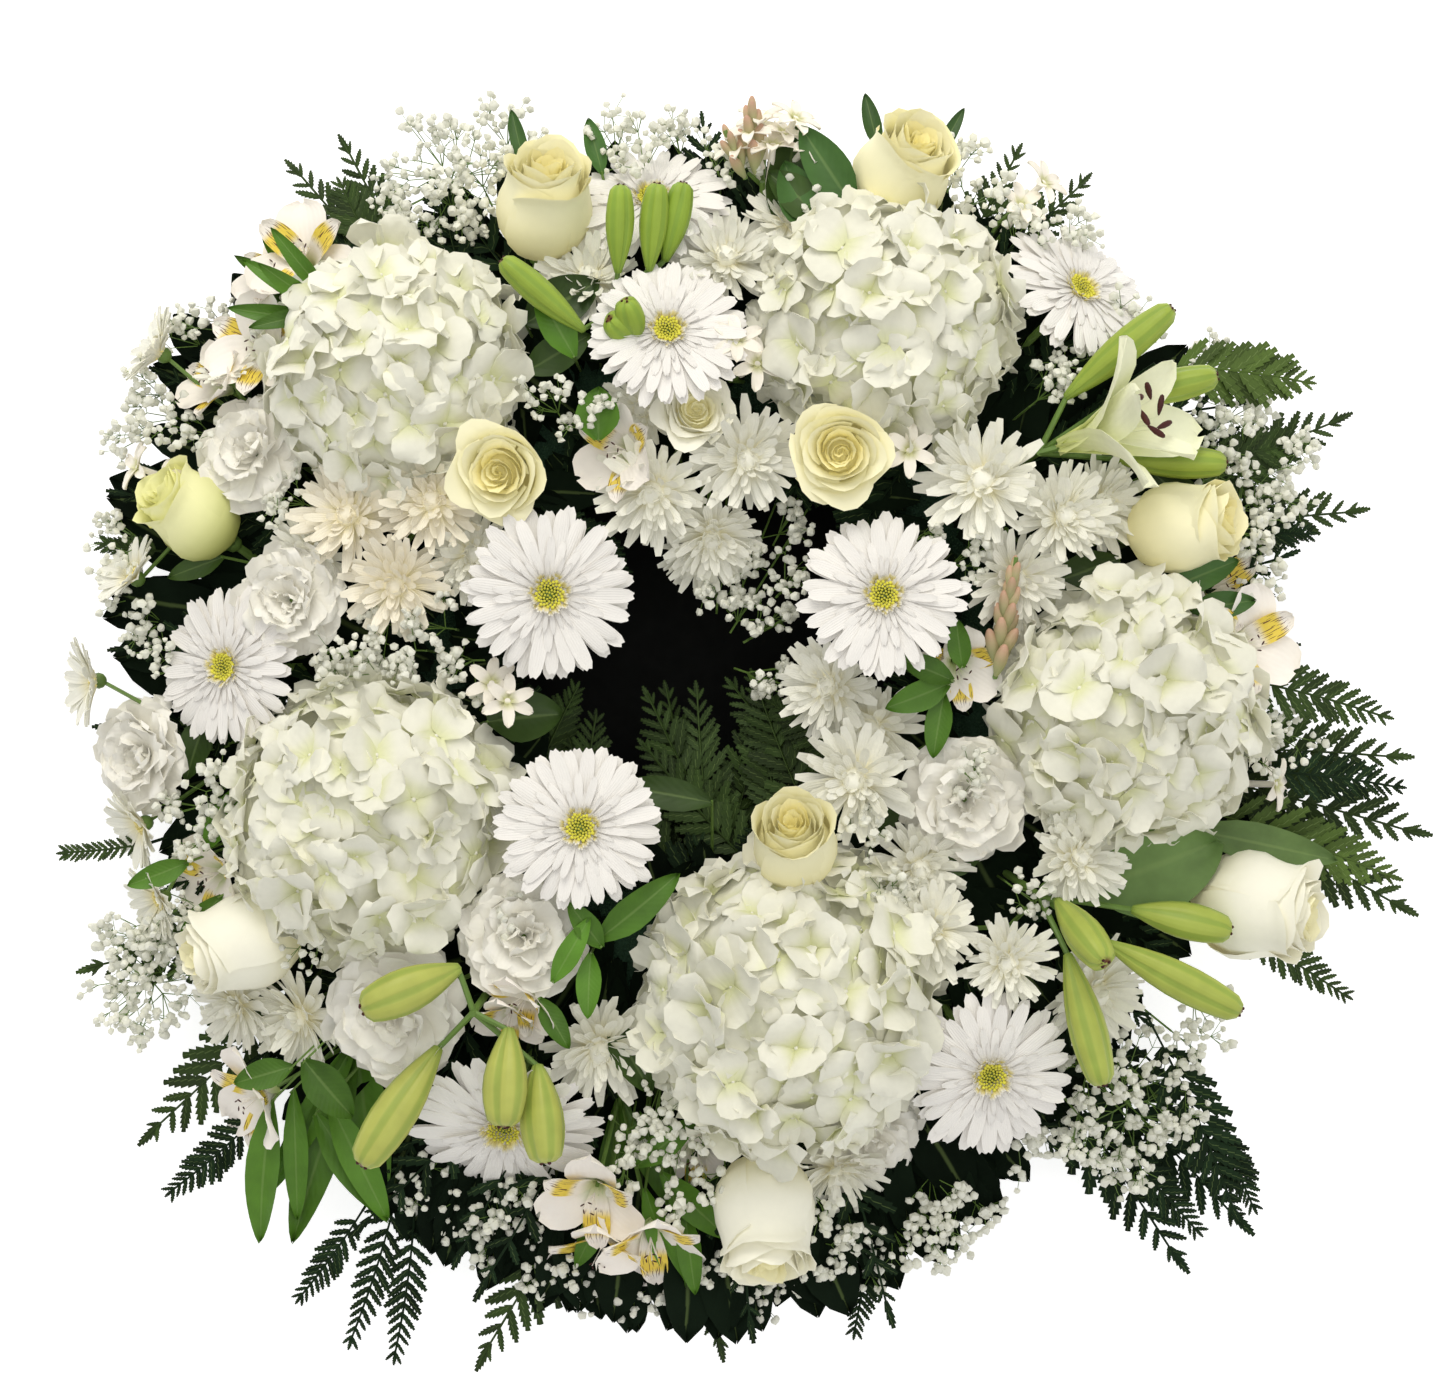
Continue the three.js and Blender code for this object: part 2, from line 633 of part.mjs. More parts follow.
function part(name, solid, material) {
  const { vertProperties, triVerts } = solid.getMesh();
  const geometry = new THREE.BufferGeometry();
  geometry.setAttribute("position", new THREE.BufferAttribute(vertProperties, 3));
  geometry.setIndex(new THREE.BufferAttribute(triVerts, 1));
  const mesh = new THREE.Mesh(geometry, material);
  mesh.name = name;
  return mesh;
}

const wreath = new THREE.Group();
wreath.add(
  part("back_board", backBoard, BLACK_LINING),
  part("ring_tray", ringTray, TRAY_PLASTIC),
  part("foam_ring", plantedFoam, WET_FOAM),
  ...plan.map(({ name, solid, material }) => part(name, solid, material)),
);

export default wreath;
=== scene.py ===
"""A funeral wreath of white and cream flowers on a ring of floral foam, dressed around its solids.

The wreath lies on its back: +Z is the way it faces and +Y its top. Places are in millimetres, as florists
measure, and become metres as they are placed. Each flower is one piece with its stem.
"""

import math
import random

import bmesh
import bpy
from mathutils import Euler, Matrix, Vector


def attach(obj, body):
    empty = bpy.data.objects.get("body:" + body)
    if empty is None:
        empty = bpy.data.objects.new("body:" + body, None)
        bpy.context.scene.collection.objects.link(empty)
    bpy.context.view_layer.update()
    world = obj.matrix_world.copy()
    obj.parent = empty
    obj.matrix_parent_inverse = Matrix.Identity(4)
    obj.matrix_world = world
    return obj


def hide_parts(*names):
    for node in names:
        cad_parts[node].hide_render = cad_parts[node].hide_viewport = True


bl_info = {
    "name": "Funeral wreath",
    "version": (1, 0, 0),
    "blender": (4, 5, 0),
    "location": "View3D > Sidebar > Wreath",
    "description": "Dresses a ring of floral foam with white flowers, lily buds and fern",
    "category": "Object",
}

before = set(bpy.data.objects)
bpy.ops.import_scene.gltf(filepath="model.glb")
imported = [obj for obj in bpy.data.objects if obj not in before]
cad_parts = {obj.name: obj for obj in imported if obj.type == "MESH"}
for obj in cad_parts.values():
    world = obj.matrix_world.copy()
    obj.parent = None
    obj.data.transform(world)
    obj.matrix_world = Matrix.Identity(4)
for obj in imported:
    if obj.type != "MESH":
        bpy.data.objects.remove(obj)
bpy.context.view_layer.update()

MM = 0.001
UP = Vector((0, 0, 1))
GOLDEN_ANGLE = math.radians(137.508)
SEED = 7
CREASE = math.radians(48)

FOAM_TOP = 64.6
STEM_DEPTH = 30.0
FOOT_INNER = 155.0
FOOT_OUTER = 211.0


# ---------------------------------------------------------------- settings


def length(name, description, millimetres):
    """A length that the user may change, given in millimetres and kept in metres."""
    return bpy.props.FloatProperty(
        name=name, description=description, default=millimetres * MM, min=0.0, unit="LENGTH", precision=4
    )


def colour(name, description, *rgb):
    return bpy.props.FloatVectorProperty(
        name=name, description=description, default=rgb, size=3, subtype="COLOR", min=0.0, max=1.0
    )


class WreathSizes(bpy.types.PropertyGroup):
    """Sizes of the wreath's own parts."""

    foam_radius: length("Foam Radius", "Centreline of the foam ring", 185.0)
    foam_width: length("Foam Width", "Width of the foam ring", 84.0)
    foam_height: length("Foam Height", "Height of the foam ring", 56.0)
    board_radius: length("Board Radius", "Radius of the back board", 238.0)
    board_thickness: length("Board Thickness", "Thickness of the back board", 6.0)
    tray_height: length("Tray Height", "Height of the ring tray", 26.0)
    floret_radius: length("Floret Radius", "Size of a hydrangea floret", 21.0)
    rose_radius: length("Rose Radius", "Radius of a rose", 28.0)
    rose_height: length("Rose Height", "Height of a rose", 72.0)
    bud_radius: length("Bud Radius", "Radius of a lily bud", 12.5)
    blossom_radius: length("Blossom Radius", "Radius of a baby's breath blossom", 2.9)


class WreathColours(bpy.types.PropertyGroup):
    """Colours of the wreath's petals and leaves."""

    hydrangea: colour("Hydrangea", "Outer part of a hydrangea floret", 0.79, 0.78, 0.66)
    hydrangea_eye: colour("Hydrangea Eye", "Middle of a hydrangea floret", 0.68, 0.7, 0.38)
    gerbera: colour("Gerbera", "Gerbera petals", 0.84, 0.815, 0.77)
    gerbera_eye: colour("Gerbera Eye", "Gerbera centre", 0.64, 0.6, 0.07)
    gerbera_ring: colour("Gerbera Ring", "Threads round the gerbera centre", 0.86, 0.74, 0.26)
    rose: colour("Rose", "Rim of rose petals", 0.92, 0.88, 0.6)
    rose_foot: colour("Rose Foot", "Foot of rose petals", 0.88, 0.81, 0.44)
    rose_heart: colour("Rose Heart", "Innermost rose petals", 0.94, 0.87, 0.48)
    rose_lime: colour("Lime Rose", "Rim of the greenish roses", 0.9, 0.89, 0.48)
    rose_pale: colour("Pale Rose", "Rim of the palest roses", 0.92, 0.9, 0.76)
    lily_bud: colour("Lily Bud", "Flanks of the ripest lily buds", 0.46, 0.49, 0.11)
    lily_green: colour("Green Bud", "Flanks of the youngest lily buds", 0.27, 0.4, 0.045)
    lily_rib: colour("Lily Rib", "Ribs and base of a lily bud", 0.19, 0.32, 0.05)
    mum: colour("Chrysanthemum", "Chrysanthemum petals", 0.85, 0.84, 0.74)
    mum_heart: colour("Chrysanthemum Heart", "Chrysanthemum centre", 0.84, 0.78, 0.5)
    lisianthus: colour("Lisianthus", "Ruffled petals", 0.85, 0.83, 0.75)
    alstroemeria: colour("Alstroemeria", "Alstroemeria tepals", 0.92, 0.87, 0.8)
    tuberose: colour("Tuberose", "Tuberose florets", 0.91, 0.86, 0.75)
    tuberose_tip: colour("Tuberose Tip", "Tips of tuberose buds", 0.55, 0.33, 0.23)
    breath: colour("Baby's Breath", "Small blossoms", 0.76, 0.76, 0.66)
    fern: colour("Fern", "Leatherleaf fern", 0.028, 0.055, 0.009)
    # Painted light: a lighter copy of the fern green for fronds at the rim, where the light falls on them.
    bright_fern: colour("Bright Fern", "Young fern at the rim", 0.075, 0.125, 0.022)
    # Painted shade: a darker copy of the fern green for fronds deep among the stems and under the flowers.
    shaded_fern: colour("Shaded Fern", "Fern deep among the stems", 0.01, 0.024, 0.009)
    # Painted shade: near-black leaves laid where the deep shade under and around the flowers falls.
    shade: colour("Shade", "Leaves deep among the stems", 0.006, 0.012, 0.006)
    leaf: colour("Leaf", "Bright leaves", 0.085, 0.2, 0.018)
    dark_leaf: colour("Dark Leaf", "Broad dark leaves", 0.04, 0.078, 0.014)
    stem: colour("Stem", "Stems and sepals", 0.14, 0.24, 0.05)
    # Soaked foam's own dark green, made darker still as painted shade for the gaps under the flowers.
    foam: colour("Foam", "Soaked floral foam", 0.02, 0.06, 0.03)
    # The film's own near-black, which also paints the deep shade seen through the ring's hole and round the foam.
    lining: colour("Lining", "Film on the back board", 0.003, 0.0035, 0.003)
    tray: colour("Tray", "Plastic of the tray", 0.01, 0.03, 0.014)


# ---------------------------------------------------------------- places


def facing(azimuth, tilt):
    """The unit vector that leans `tilt` degrees from +Z towards `azimuth`, counted from +X towards +Y."""
    a, t = math.radians(azimuth), math.radians(tilt)
    return Vector((math.cos(a) * math.sin(t), math.sin(a) * math.sin(t), math.cos(t)))


def spot(at, azimuth=0.0, tilt=0.0, spin=0.0, size=1.0):
    """The place of a shape made around +Z: at a point in millimetres, turned to face a direction."""
    turn = UP.rotation_difference(facing(azimuth, tilt)).to_matrix().to_4x4()
    own = Matrix.Rotation(math.radians(spin), 4, "Z")
    return Matrix.Translation(Vector(at) * MM) @ turn @ own @ Matrix.Scale(size, 4)


def foot_of(at, azimuth=None, radius=None):
    """Where the stem under a head ends in the foam."""
    a = math.atan2(at[1], at[0]) if azimuth is None else math.radians(azimuth)
    r = radius or min(max(math.hypot(at[0], at[1]), FOOT_INNER), FOOT_OUTER)
    return Vector((r * math.cos(a), r * math.sin(a), FOAM_TOP - STEM_DEPTH)) * MM


# ---------------------------------------------------------------- small meshes


def settle(bm, name, slot=0):
    """Ends a small mesh: outward faces, crisp rims, one material slot, and the tone that tells copies apart."""
    bmesh.ops.recalc_face_normals(bm, faces=bm.faces)
    for face in bm.faces:
        face.smooth = True
        face.material_index = slot
    for edge in bm.edges:
        edge.smooth = edge.calc_face_angle(0.0) < CREASE
    mesh = bpy.data.meshes.new(name)
    bm.to_mesh(mesh)
    bm.free()
    mesh.attributes.new("tone", "FLOAT", "POINT")
    return mesh


def tapering(base, widest, tip, point=0.5):
    """Half widths along a petal: from `base`, to 1 at `widest`, to `tip` at an end that is round (0.5) to pointed (1)."""

    def half(t):
        if t < widest:
            return base + (1 - base) * math.sin(0.5 * math.pi * t / widest)
        s = (t - widest) / (1 - widest)
        return tip + (1 - tip) * max(0.0, 1 - s * s) ** point

    return half


def petal(name, reach, width, half, pitch, *, rows=6, cols=2, cup=0.0, ruffle=0.0, waves=2.0, frill=0.0, crimps=3.0,
          phase=0.0, notch=0.0, thick=0.3, slot=0):
    """A closed petal from the origin along +Y, its inner side up. Sizes in millimetres, pitch in degrees.

    `pitch` is the midrib's slope at the base and at the tip, `cup` lifts the sides, `ruffle` waves them and
    `frill` crimps the rim.
    """
    bm = bmesh.new()
    bm.loops.layers.uv.new("UVMap")
    bmesh.ops.create_grid(bm, x_segments=cols, y_segments=rows, size=0.5, calc_uvs=True)
    start, turn = math.radians(pitch[0]), math.radians(pitch[1] - pitch[0]) or 1e-6
    for v in bm.verts:
        across, t = 2 * v.co.x, v.co.y + 0.5
        t *= 1.5 - 0.5 * t
        slope = start + turn * t
        y = reach * (math.sin(slope) - math.sin(start)) / turn
        z = reach * (math.cos(start) - math.cos(slope)) / turn
        y -= notch * reach * (1 - abs(across)) * max(0.0, t - 0.8) * 5
        wave = math.sin(waves * 2 * math.pi * t + phase + (1.7 if across > 0 else 0.0))
        lift = 0.5 * width * across * across * (cup + ruffle * wave * t)
        lift += frill * width * t * t * math.sin(crimps * math.pi * across + phase)
        v.co = Vector((0.5 * width * half(t) * across, y - lift * math.sin(slope), z + lift * math.cos(slope))) * MM
    bmesh.ops.solidify(bm, geom=bm.faces[:], thickness=thick * MM)
    return settle(bm, name, slot)


def wrapped_petal(name, radius, height, span, *, lip=0.1, shut=0.1, tuck=0.06, base=0.75, point=0.1, drop=0.12,
                  belly=0.5, rows=8, cols=8, phase=0.0, thick=0.5, slot=0):
    """A closed petal that wraps round +Z, as on a rose: a cupped wall that draws in above its belly.

    Its lip rolls outwards, and its rim is wavy and comes to a soft point.
    """
    bm = bmesh.new()
    bm.loops.layers.uv.new("UVMap")
    bmesh.ops.create_grid(bm, x_segments=cols, y_segments=rows, size=0.5, calc_uvs=True)
    for v in bm.verts:
        u, t = 2 * v.co.x, v.co.y + 0.5
        t *= 1.4 - 0.4 * t
        angle = 0.5 * math.radians(span) * u * (base + (1 - base) * math.sin(0.5 * math.pi * min(1.0, t / 0.5)))
        wall = math.sin(0.5 * math.pi * min(1.0, t / belly)) ** 0.6
        above = max(0.0, (t - belly) / (1 - belly))
        over = max(0.0, (t - 0.66) / 0.34)
        roll = lip * over * over * (1 + 0.4 * math.sin(3.4 * u + phase)) * (1 + point * (1 - 2 * abs(u)))
        r = radius * (wall * (1 - shut * above * above * (3 - 2 * above)) * (1 + tuck * u) + roll)
        z = height * (t - drop * abs(u) ** 2.6 * t * t + 0.03 * over * math.sin(5 * u + 2 * phase)) - 0.5 * lip * radius * over ** 3
        v.co = Vector((r * math.sin(angle), r * math.cos(angle), z)) * MM
    bmesh.ops.solidify(bm, geom=bm.faces[:], thickness=thick * MM)
    return settle(bm, name, slot)


def bead(name, radius, slot=0, detail=1, rough=0.0, rng=None):
    """A small round body, crumpled by `rough`."""
    bm = bmesh.new()
    bm.loops.layers.uv.new("UVMap")
    bmesh.ops.create_icosphere(bm, subdivisions=detail, radius=radius * MM, calc_uvs=True)
    if rough:
        for v in bm.verts:
            v.co *= 1 + rough * (rng.random() * 2 - 1)
    return settle(bm, name, slot)


def rod_mesh(name, sides, slot=0):
    """A stem of length 1 and radius 1 along +Z, to be stretched between two points."""
    bm = bmesh.new()
    bm.loops.layers.uv.new("UVMap")
    bmesh.ops.create_cone(bm, cap_ends=True, segments=sides, radius1=1.0, radius2=0.85, depth=1.0, calc_uvs=True)
    bmesh.ops.translate(bm, verts=bm.verts, vec=(0, 0, 0.5))
    return settle(bm, name, slot)


def spindle(name, radius, reach, slot=0, ribs=3, rib=0.1, blunt=0.45, around=24, along=12, neck=0.2):
    """A closed bud along +Z from the origin: furrowed between its ribs, narrow at the foot, blunt at the tip."""
    bm = bmesh.new()
    bm.loops.layers.uv.new("UVMap")
    bmesh.ops.create_uvsphere(bm, u_segments=around, v_segments=along, radius=1.0, calc_uvs=True)
    for v in bm.verts:
        t = 0.5 + 0.5 * v.co.z
        angle = math.atan2(v.co.y, v.co.x)
        if t < 0.6:
            full = neck + (1 - neck) * math.sin(0.5 * math.pi * t / 0.6)
        else:
            full = 1 - (1 - blunt) * ((t - 0.6) / 0.4) ** 2
        full *= math.sqrt(max(0.0, 1 - max(0.0, (t - 0.93) / 0.07) ** 2)) * min(1.0, t / 0.01)
        ridge = 1 + rib * (1.6 * abs(math.cos(0.5 * ribs * angle)) - 1)
        v.co = Vector((radius * full * ridge * math.cos(angle), radius * full * ridge * math.sin(angle), reach * t)) * MM
    return settle(bm, name, slot)


def pinna(name, teeth, slot=0):
    """One leaflet of a fern frond, 1 mm long along +Y, cut into forward-pointing lobes."""
    bm = bmesh.new()
    bm.loops.layers.uv.new("UVMap")
    bmesh.ops.create_grid(bm, x_segments=1, y_segments=2 * teeth, size=0.5, calc_uvs=True)
    for v in bm.verts:
        across, t = 2 * v.co.x, v.co.y + 0.5
        tooth = round(t * 2 * teeth) % 2
        outline = math.sin(math.pi * (0.26 + 0.72 * t)) ** 0.7
        half = 0.14 * outline * (1.0 if tooth else 0.42) + 0.01
        ahead = (1.0 / teeth) * tooth * outline
        v.co = Vector((half * across, t * 0.92 + ahead, -0.1 * t * t)) * MM
    bmesh.ops.solidify(bm, geom=bm.faces[:], thickness=0.012 * MM)
    return settle(bm, name, slot)


class Bunch:
    """Copies of small meshes gathered into one mesh."""

    def __init__(self, seed):
        self.bm = bmesh.new()
        self.rng = random.Random(f"{SEED} {seed}")

    def add(self, mesh, place, tone=None):
        """Adds a copy of a small mesh. Its tone, from 0 to 1, varies its colour a little."""
        copy = mesh.copy()
        copy.transform(place)
        value = self.rng.random() if tone is None else tone
        copy.attributes["tone"].data.foreach_set("value", [value] * len(copy.vertices))
        self.bm.from_mesh(copy)
        bpy.data.meshes.remove(copy)

    def stem(self, rod, points, radius):
        """A stem through points in metres, of a radius in millimetres."""
        for a, b in zip(points, points[1:]):
            axis = b - a
            turn = UP.rotation_difference(axis).to_matrix().to_4x4()
            shape = Matrix.Diagonal((radius * MM, radius * MM, axis.length * 1.02, 1))
            self.add(rod, Matrix.Translation(a) @ turn @ shape, 0.5)

    def finish(self, name, materials, *nodes, slot=None):
        """Makes the gathered mesh a piece that stands for the given solids."""
        mesh = bpy.data.meshes.new(name)
        self.bm.to_mesh(mesh)
        self.bm.free()
        return set_piece(name, mesh, materials, *nodes, slot=slot)


def set_piece(name, mesh, materials, *nodes, slot=None):
    obj = bpy.data.objects.new(name, mesh)
    bpy.context.scene.collection.objects.link(obj)
    for material in materials:
        mesh.materials.append(material)
    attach(obj, "root")
    if nodes:
        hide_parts(*nodes)
    return obj


def turned(azimuth, tilt=0.0, radius=0.0, height=0.0, roll=0.0):
    """A petal's place on a head: out along `azimuth`, raised about its own foot by `tilt` degrees."""
    return (
        Matrix.Rotation(math.radians(azimuth), 4, "Z")
        @ Matrix.Translation(Vector((0, radius, height)) * MM)
        @ Matrix.Rotation(math.radians(tilt), 4, "X")
        @ Matrix.Rotation(math.radians(roll), 4, "Y")
    )


# ---------------------------------------------------------------- materials


def put(tree, socket, value):
    if isinstance(value, bpy.types.NodeSocket):
        tree.links.new(value, socket)
    elif isinstance(value, (tuple, list)) and len(value) == 3 and socket.type == "RGBA":
        socket.default_value = (*value, 1.0)
    else:
        socket.default_value = value


def node(tree, kind, inputs=None, output=0, **settings):
    """Adds a node and returns one of its outputs. Inputs are given by name or by place."""
    made = tree.nodes.new(kind)
    for key, value in settings.items():
        setattr(made, key, value)
    for key, value in (inputs or {}).items():
        put(tree, made.inputs[key], value)
    return made.outputs[output]


def maths(tree, operation, a, b=0.0):
    return node(tree, "ShaderNodeMath", {0: a, 1: b}, operation=operation)


def blend(tree, factor, a, b, how="MIX"):
    return node(tree, "ShaderNodeMix", {0: factor, 6: a, 7: b}, 2, data_type="RGBA", blend_type=how)


def ramp(tree, value, low, high, smooth=True):
    """0 below `low`, 1 above `high`."""
    kind = "SMOOTHSTEP" if smooth else "LINEAR"
    return node(tree, "ShaderNodeMapRange", {0: value, 1: low, 2: high}, interpolation_type=kind)


def noise(tree, scale, detail=2.0, where=None):
    spot_of = where or node(tree, "ShaderNodeTexCoord", output=3)
    return node(tree, "ShaderNodeTexNoise", {"Vector": spot_of, "Scale": scale, "Detail": detail})


def effect(name, inputs, outputs, build):
    """A node group with named inputs and outputs."""
    tree = bpy.data.node_groups.new(name, "ShaderNodeTree")
    for label, kind, default in inputs:
        tree.interface.new_socket(label, in_out="INPUT", socket_type=kind).default_value = default
    for label, kind in outputs:
        tree.interface.new_socket(label, in_out="OUTPUT", socket_type=kind)
    source, target = tree.nodes.new("NodeGroupInput"), tree.nodes.new("NodeGroupOutput")
    for label, value in build(tree, source.outputs).items():
        tree.links.new(value, target.inputs[label])
    return tree


COLOUR, NUMBER = "NodeSocketColor", "NodeSocketFloat"


def petal_effect():
    """Colour from foot to rim, with a tone for each petal, and fine lengthwise veins."""

    def build(tree, given):
        across, along, _ = tree.nodes.new("ShaderNodeSeparateXYZ").outputs
        uv = node(tree, "ShaderNodeUVMap", uv_map="UVMap")
        tree.links.new(uv, across.node.inputs[0])
        reach = ramp(tree, along, given["From"], given["To"])
        tint = blend(tree, reach, given["Foot"], given["Rim"])
        tone = node(tree, "ShaderNodeAttribute", output=2, attribute_name="tone")
        mottle = maths(tree, "SUBTRACT", noise(tree, 220.0), 0.5)
        change = maths(tree, "ADD", maths(tree, "SUBTRACT", tone, 0.5), maths(tree, "MULTIPLY", mottle, 0.8))
        value = maths(tree, "ADD", maths(tree, "MULTIPLY", change, given["Variation"]), 1.0)
        tint = node(tree, "ShaderNodeHueSaturation", {"Color": tint, "Value": value})
        stripes = maths(tree, "SINE", maths(tree, "MULTIPLY", across, given["Veins"]))
        fade = maths(tree, "SUBTRACT", 1.0, maths(tree, "MULTIPLY", along, 0.5))
        height = maths(tree, "ADD", maths(tree, "MULTIPLY", stripes, fade), noise(tree, 900.0))
        return {"Color": tint, "Height": height}

    inputs = [
        ("Foot", COLOUR, (1, 1, 1, 1)), ("Rim", COLOUR, (1, 1, 1, 1)), ("From", NUMBER, 0.0), ("To", NUMBER, 1.0),
        ("Variation", NUMBER, 0.1), ("Veins", NUMBER, 60.0),
    ]
    return effect("petal tint", inputs, [("Color", COLOUR), ("Height", NUMBER)], build)


def leaf_effect():
    """A leaf's green with a pale midrib and side veins."""

    def build(tree, given):
        across, along, _ = tree.nodes.new("ShaderNodeSeparateXYZ").outputs
        uv = node(tree, "ShaderNodeUVMap", uv_map="UVMap")
        tree.links.new(uv, across.node.inputs[0])
        off = maths(tree, "ABSOLUTE", maths(tree, "SUBTRACT", across, 0.5))
        midrib = maths(tree, "SUBTRACT", 1.0, ramp(tree, off, 0.01, 0.06))
        slant = maths(tree, "SUBTRACT", maths(tree, "MULTIPLY", along, given["Veins"]), maths(tree, "MULTIPLY", off, 30.0))
        veins = maths(tree, "SINE", slant)
        tone = node(tree, "ShaderNodeAttribute", output=2, attribute_name="tone")
        change = maths(tree, "ADD", maths(tree, "SUBTRACT", tone, 0.5), maths(tree, "SUBTRACT", noise(tree, 60.0, 4.0), 0.5))
        value = maths(tree, "ADD", maths(tree, "MULTIPLY", change, 0.7), 1.0)
        green = node(tree, "ShaderNodeHueSaturation", {"Color": given["Green"], "Value": value})
        pale = blend(tree, maths(tree, "MULTIPLY", midrib, 0.22), green, (0.3, 0.42, 0.14))
        height = maths(tree, "SUBTRACT", maths(tree, "MULTIPLY", veins, 0.3), midrib)
        return {"Color": pale, "Height": height}

    inputs = [("Green", COLOUR, (0, 1, 0, 1)), ("Veins", NUMBER, 80.0)]
    return effect("leaf tint", inputs, [("Color", COLOUR), ("Height", NUMBER)], build)


def new_material(name, build, depth=0.2, **numbers):
    """A material whose `build(tree)` gives the colour, the bump height and perhaps the roughness."""
    material = bpy.data.materials.new(name)
    material.use_nodes = True
    tree = material.node_tree
    shader = tree.nodes["Principled BSDF"]
    for key, value in numbers.items():
        shader.inputs[key.replace("_", " ").title().replace("Ior", "IOR")].default_value = value
    for key, value in build(tree).items():
        if key == "Height":
            bump = node(tree, "ShaderNodeBump", {"Height": value, "Distance": depth * MM, "Strength": 1.0})
            tree.links.new(bump, shader.inputs["Normal"])
        else:
            put(tree, shader.inputs[key], value)
    return material


def place_group(tree, group, values):
    made = tree.nodes.new("ShaderNodeGroup")
    made.node_tree = group
    for key, value in values.items():
        put(tree, made.inputs[key], value)
    return made.outputs


# Painted glow: petals emit this share of their own colour, though they are no lamp, standing in for light that passes
# through a thin petal and lifting their shadows.
PAINTED_GLOW = 0.05


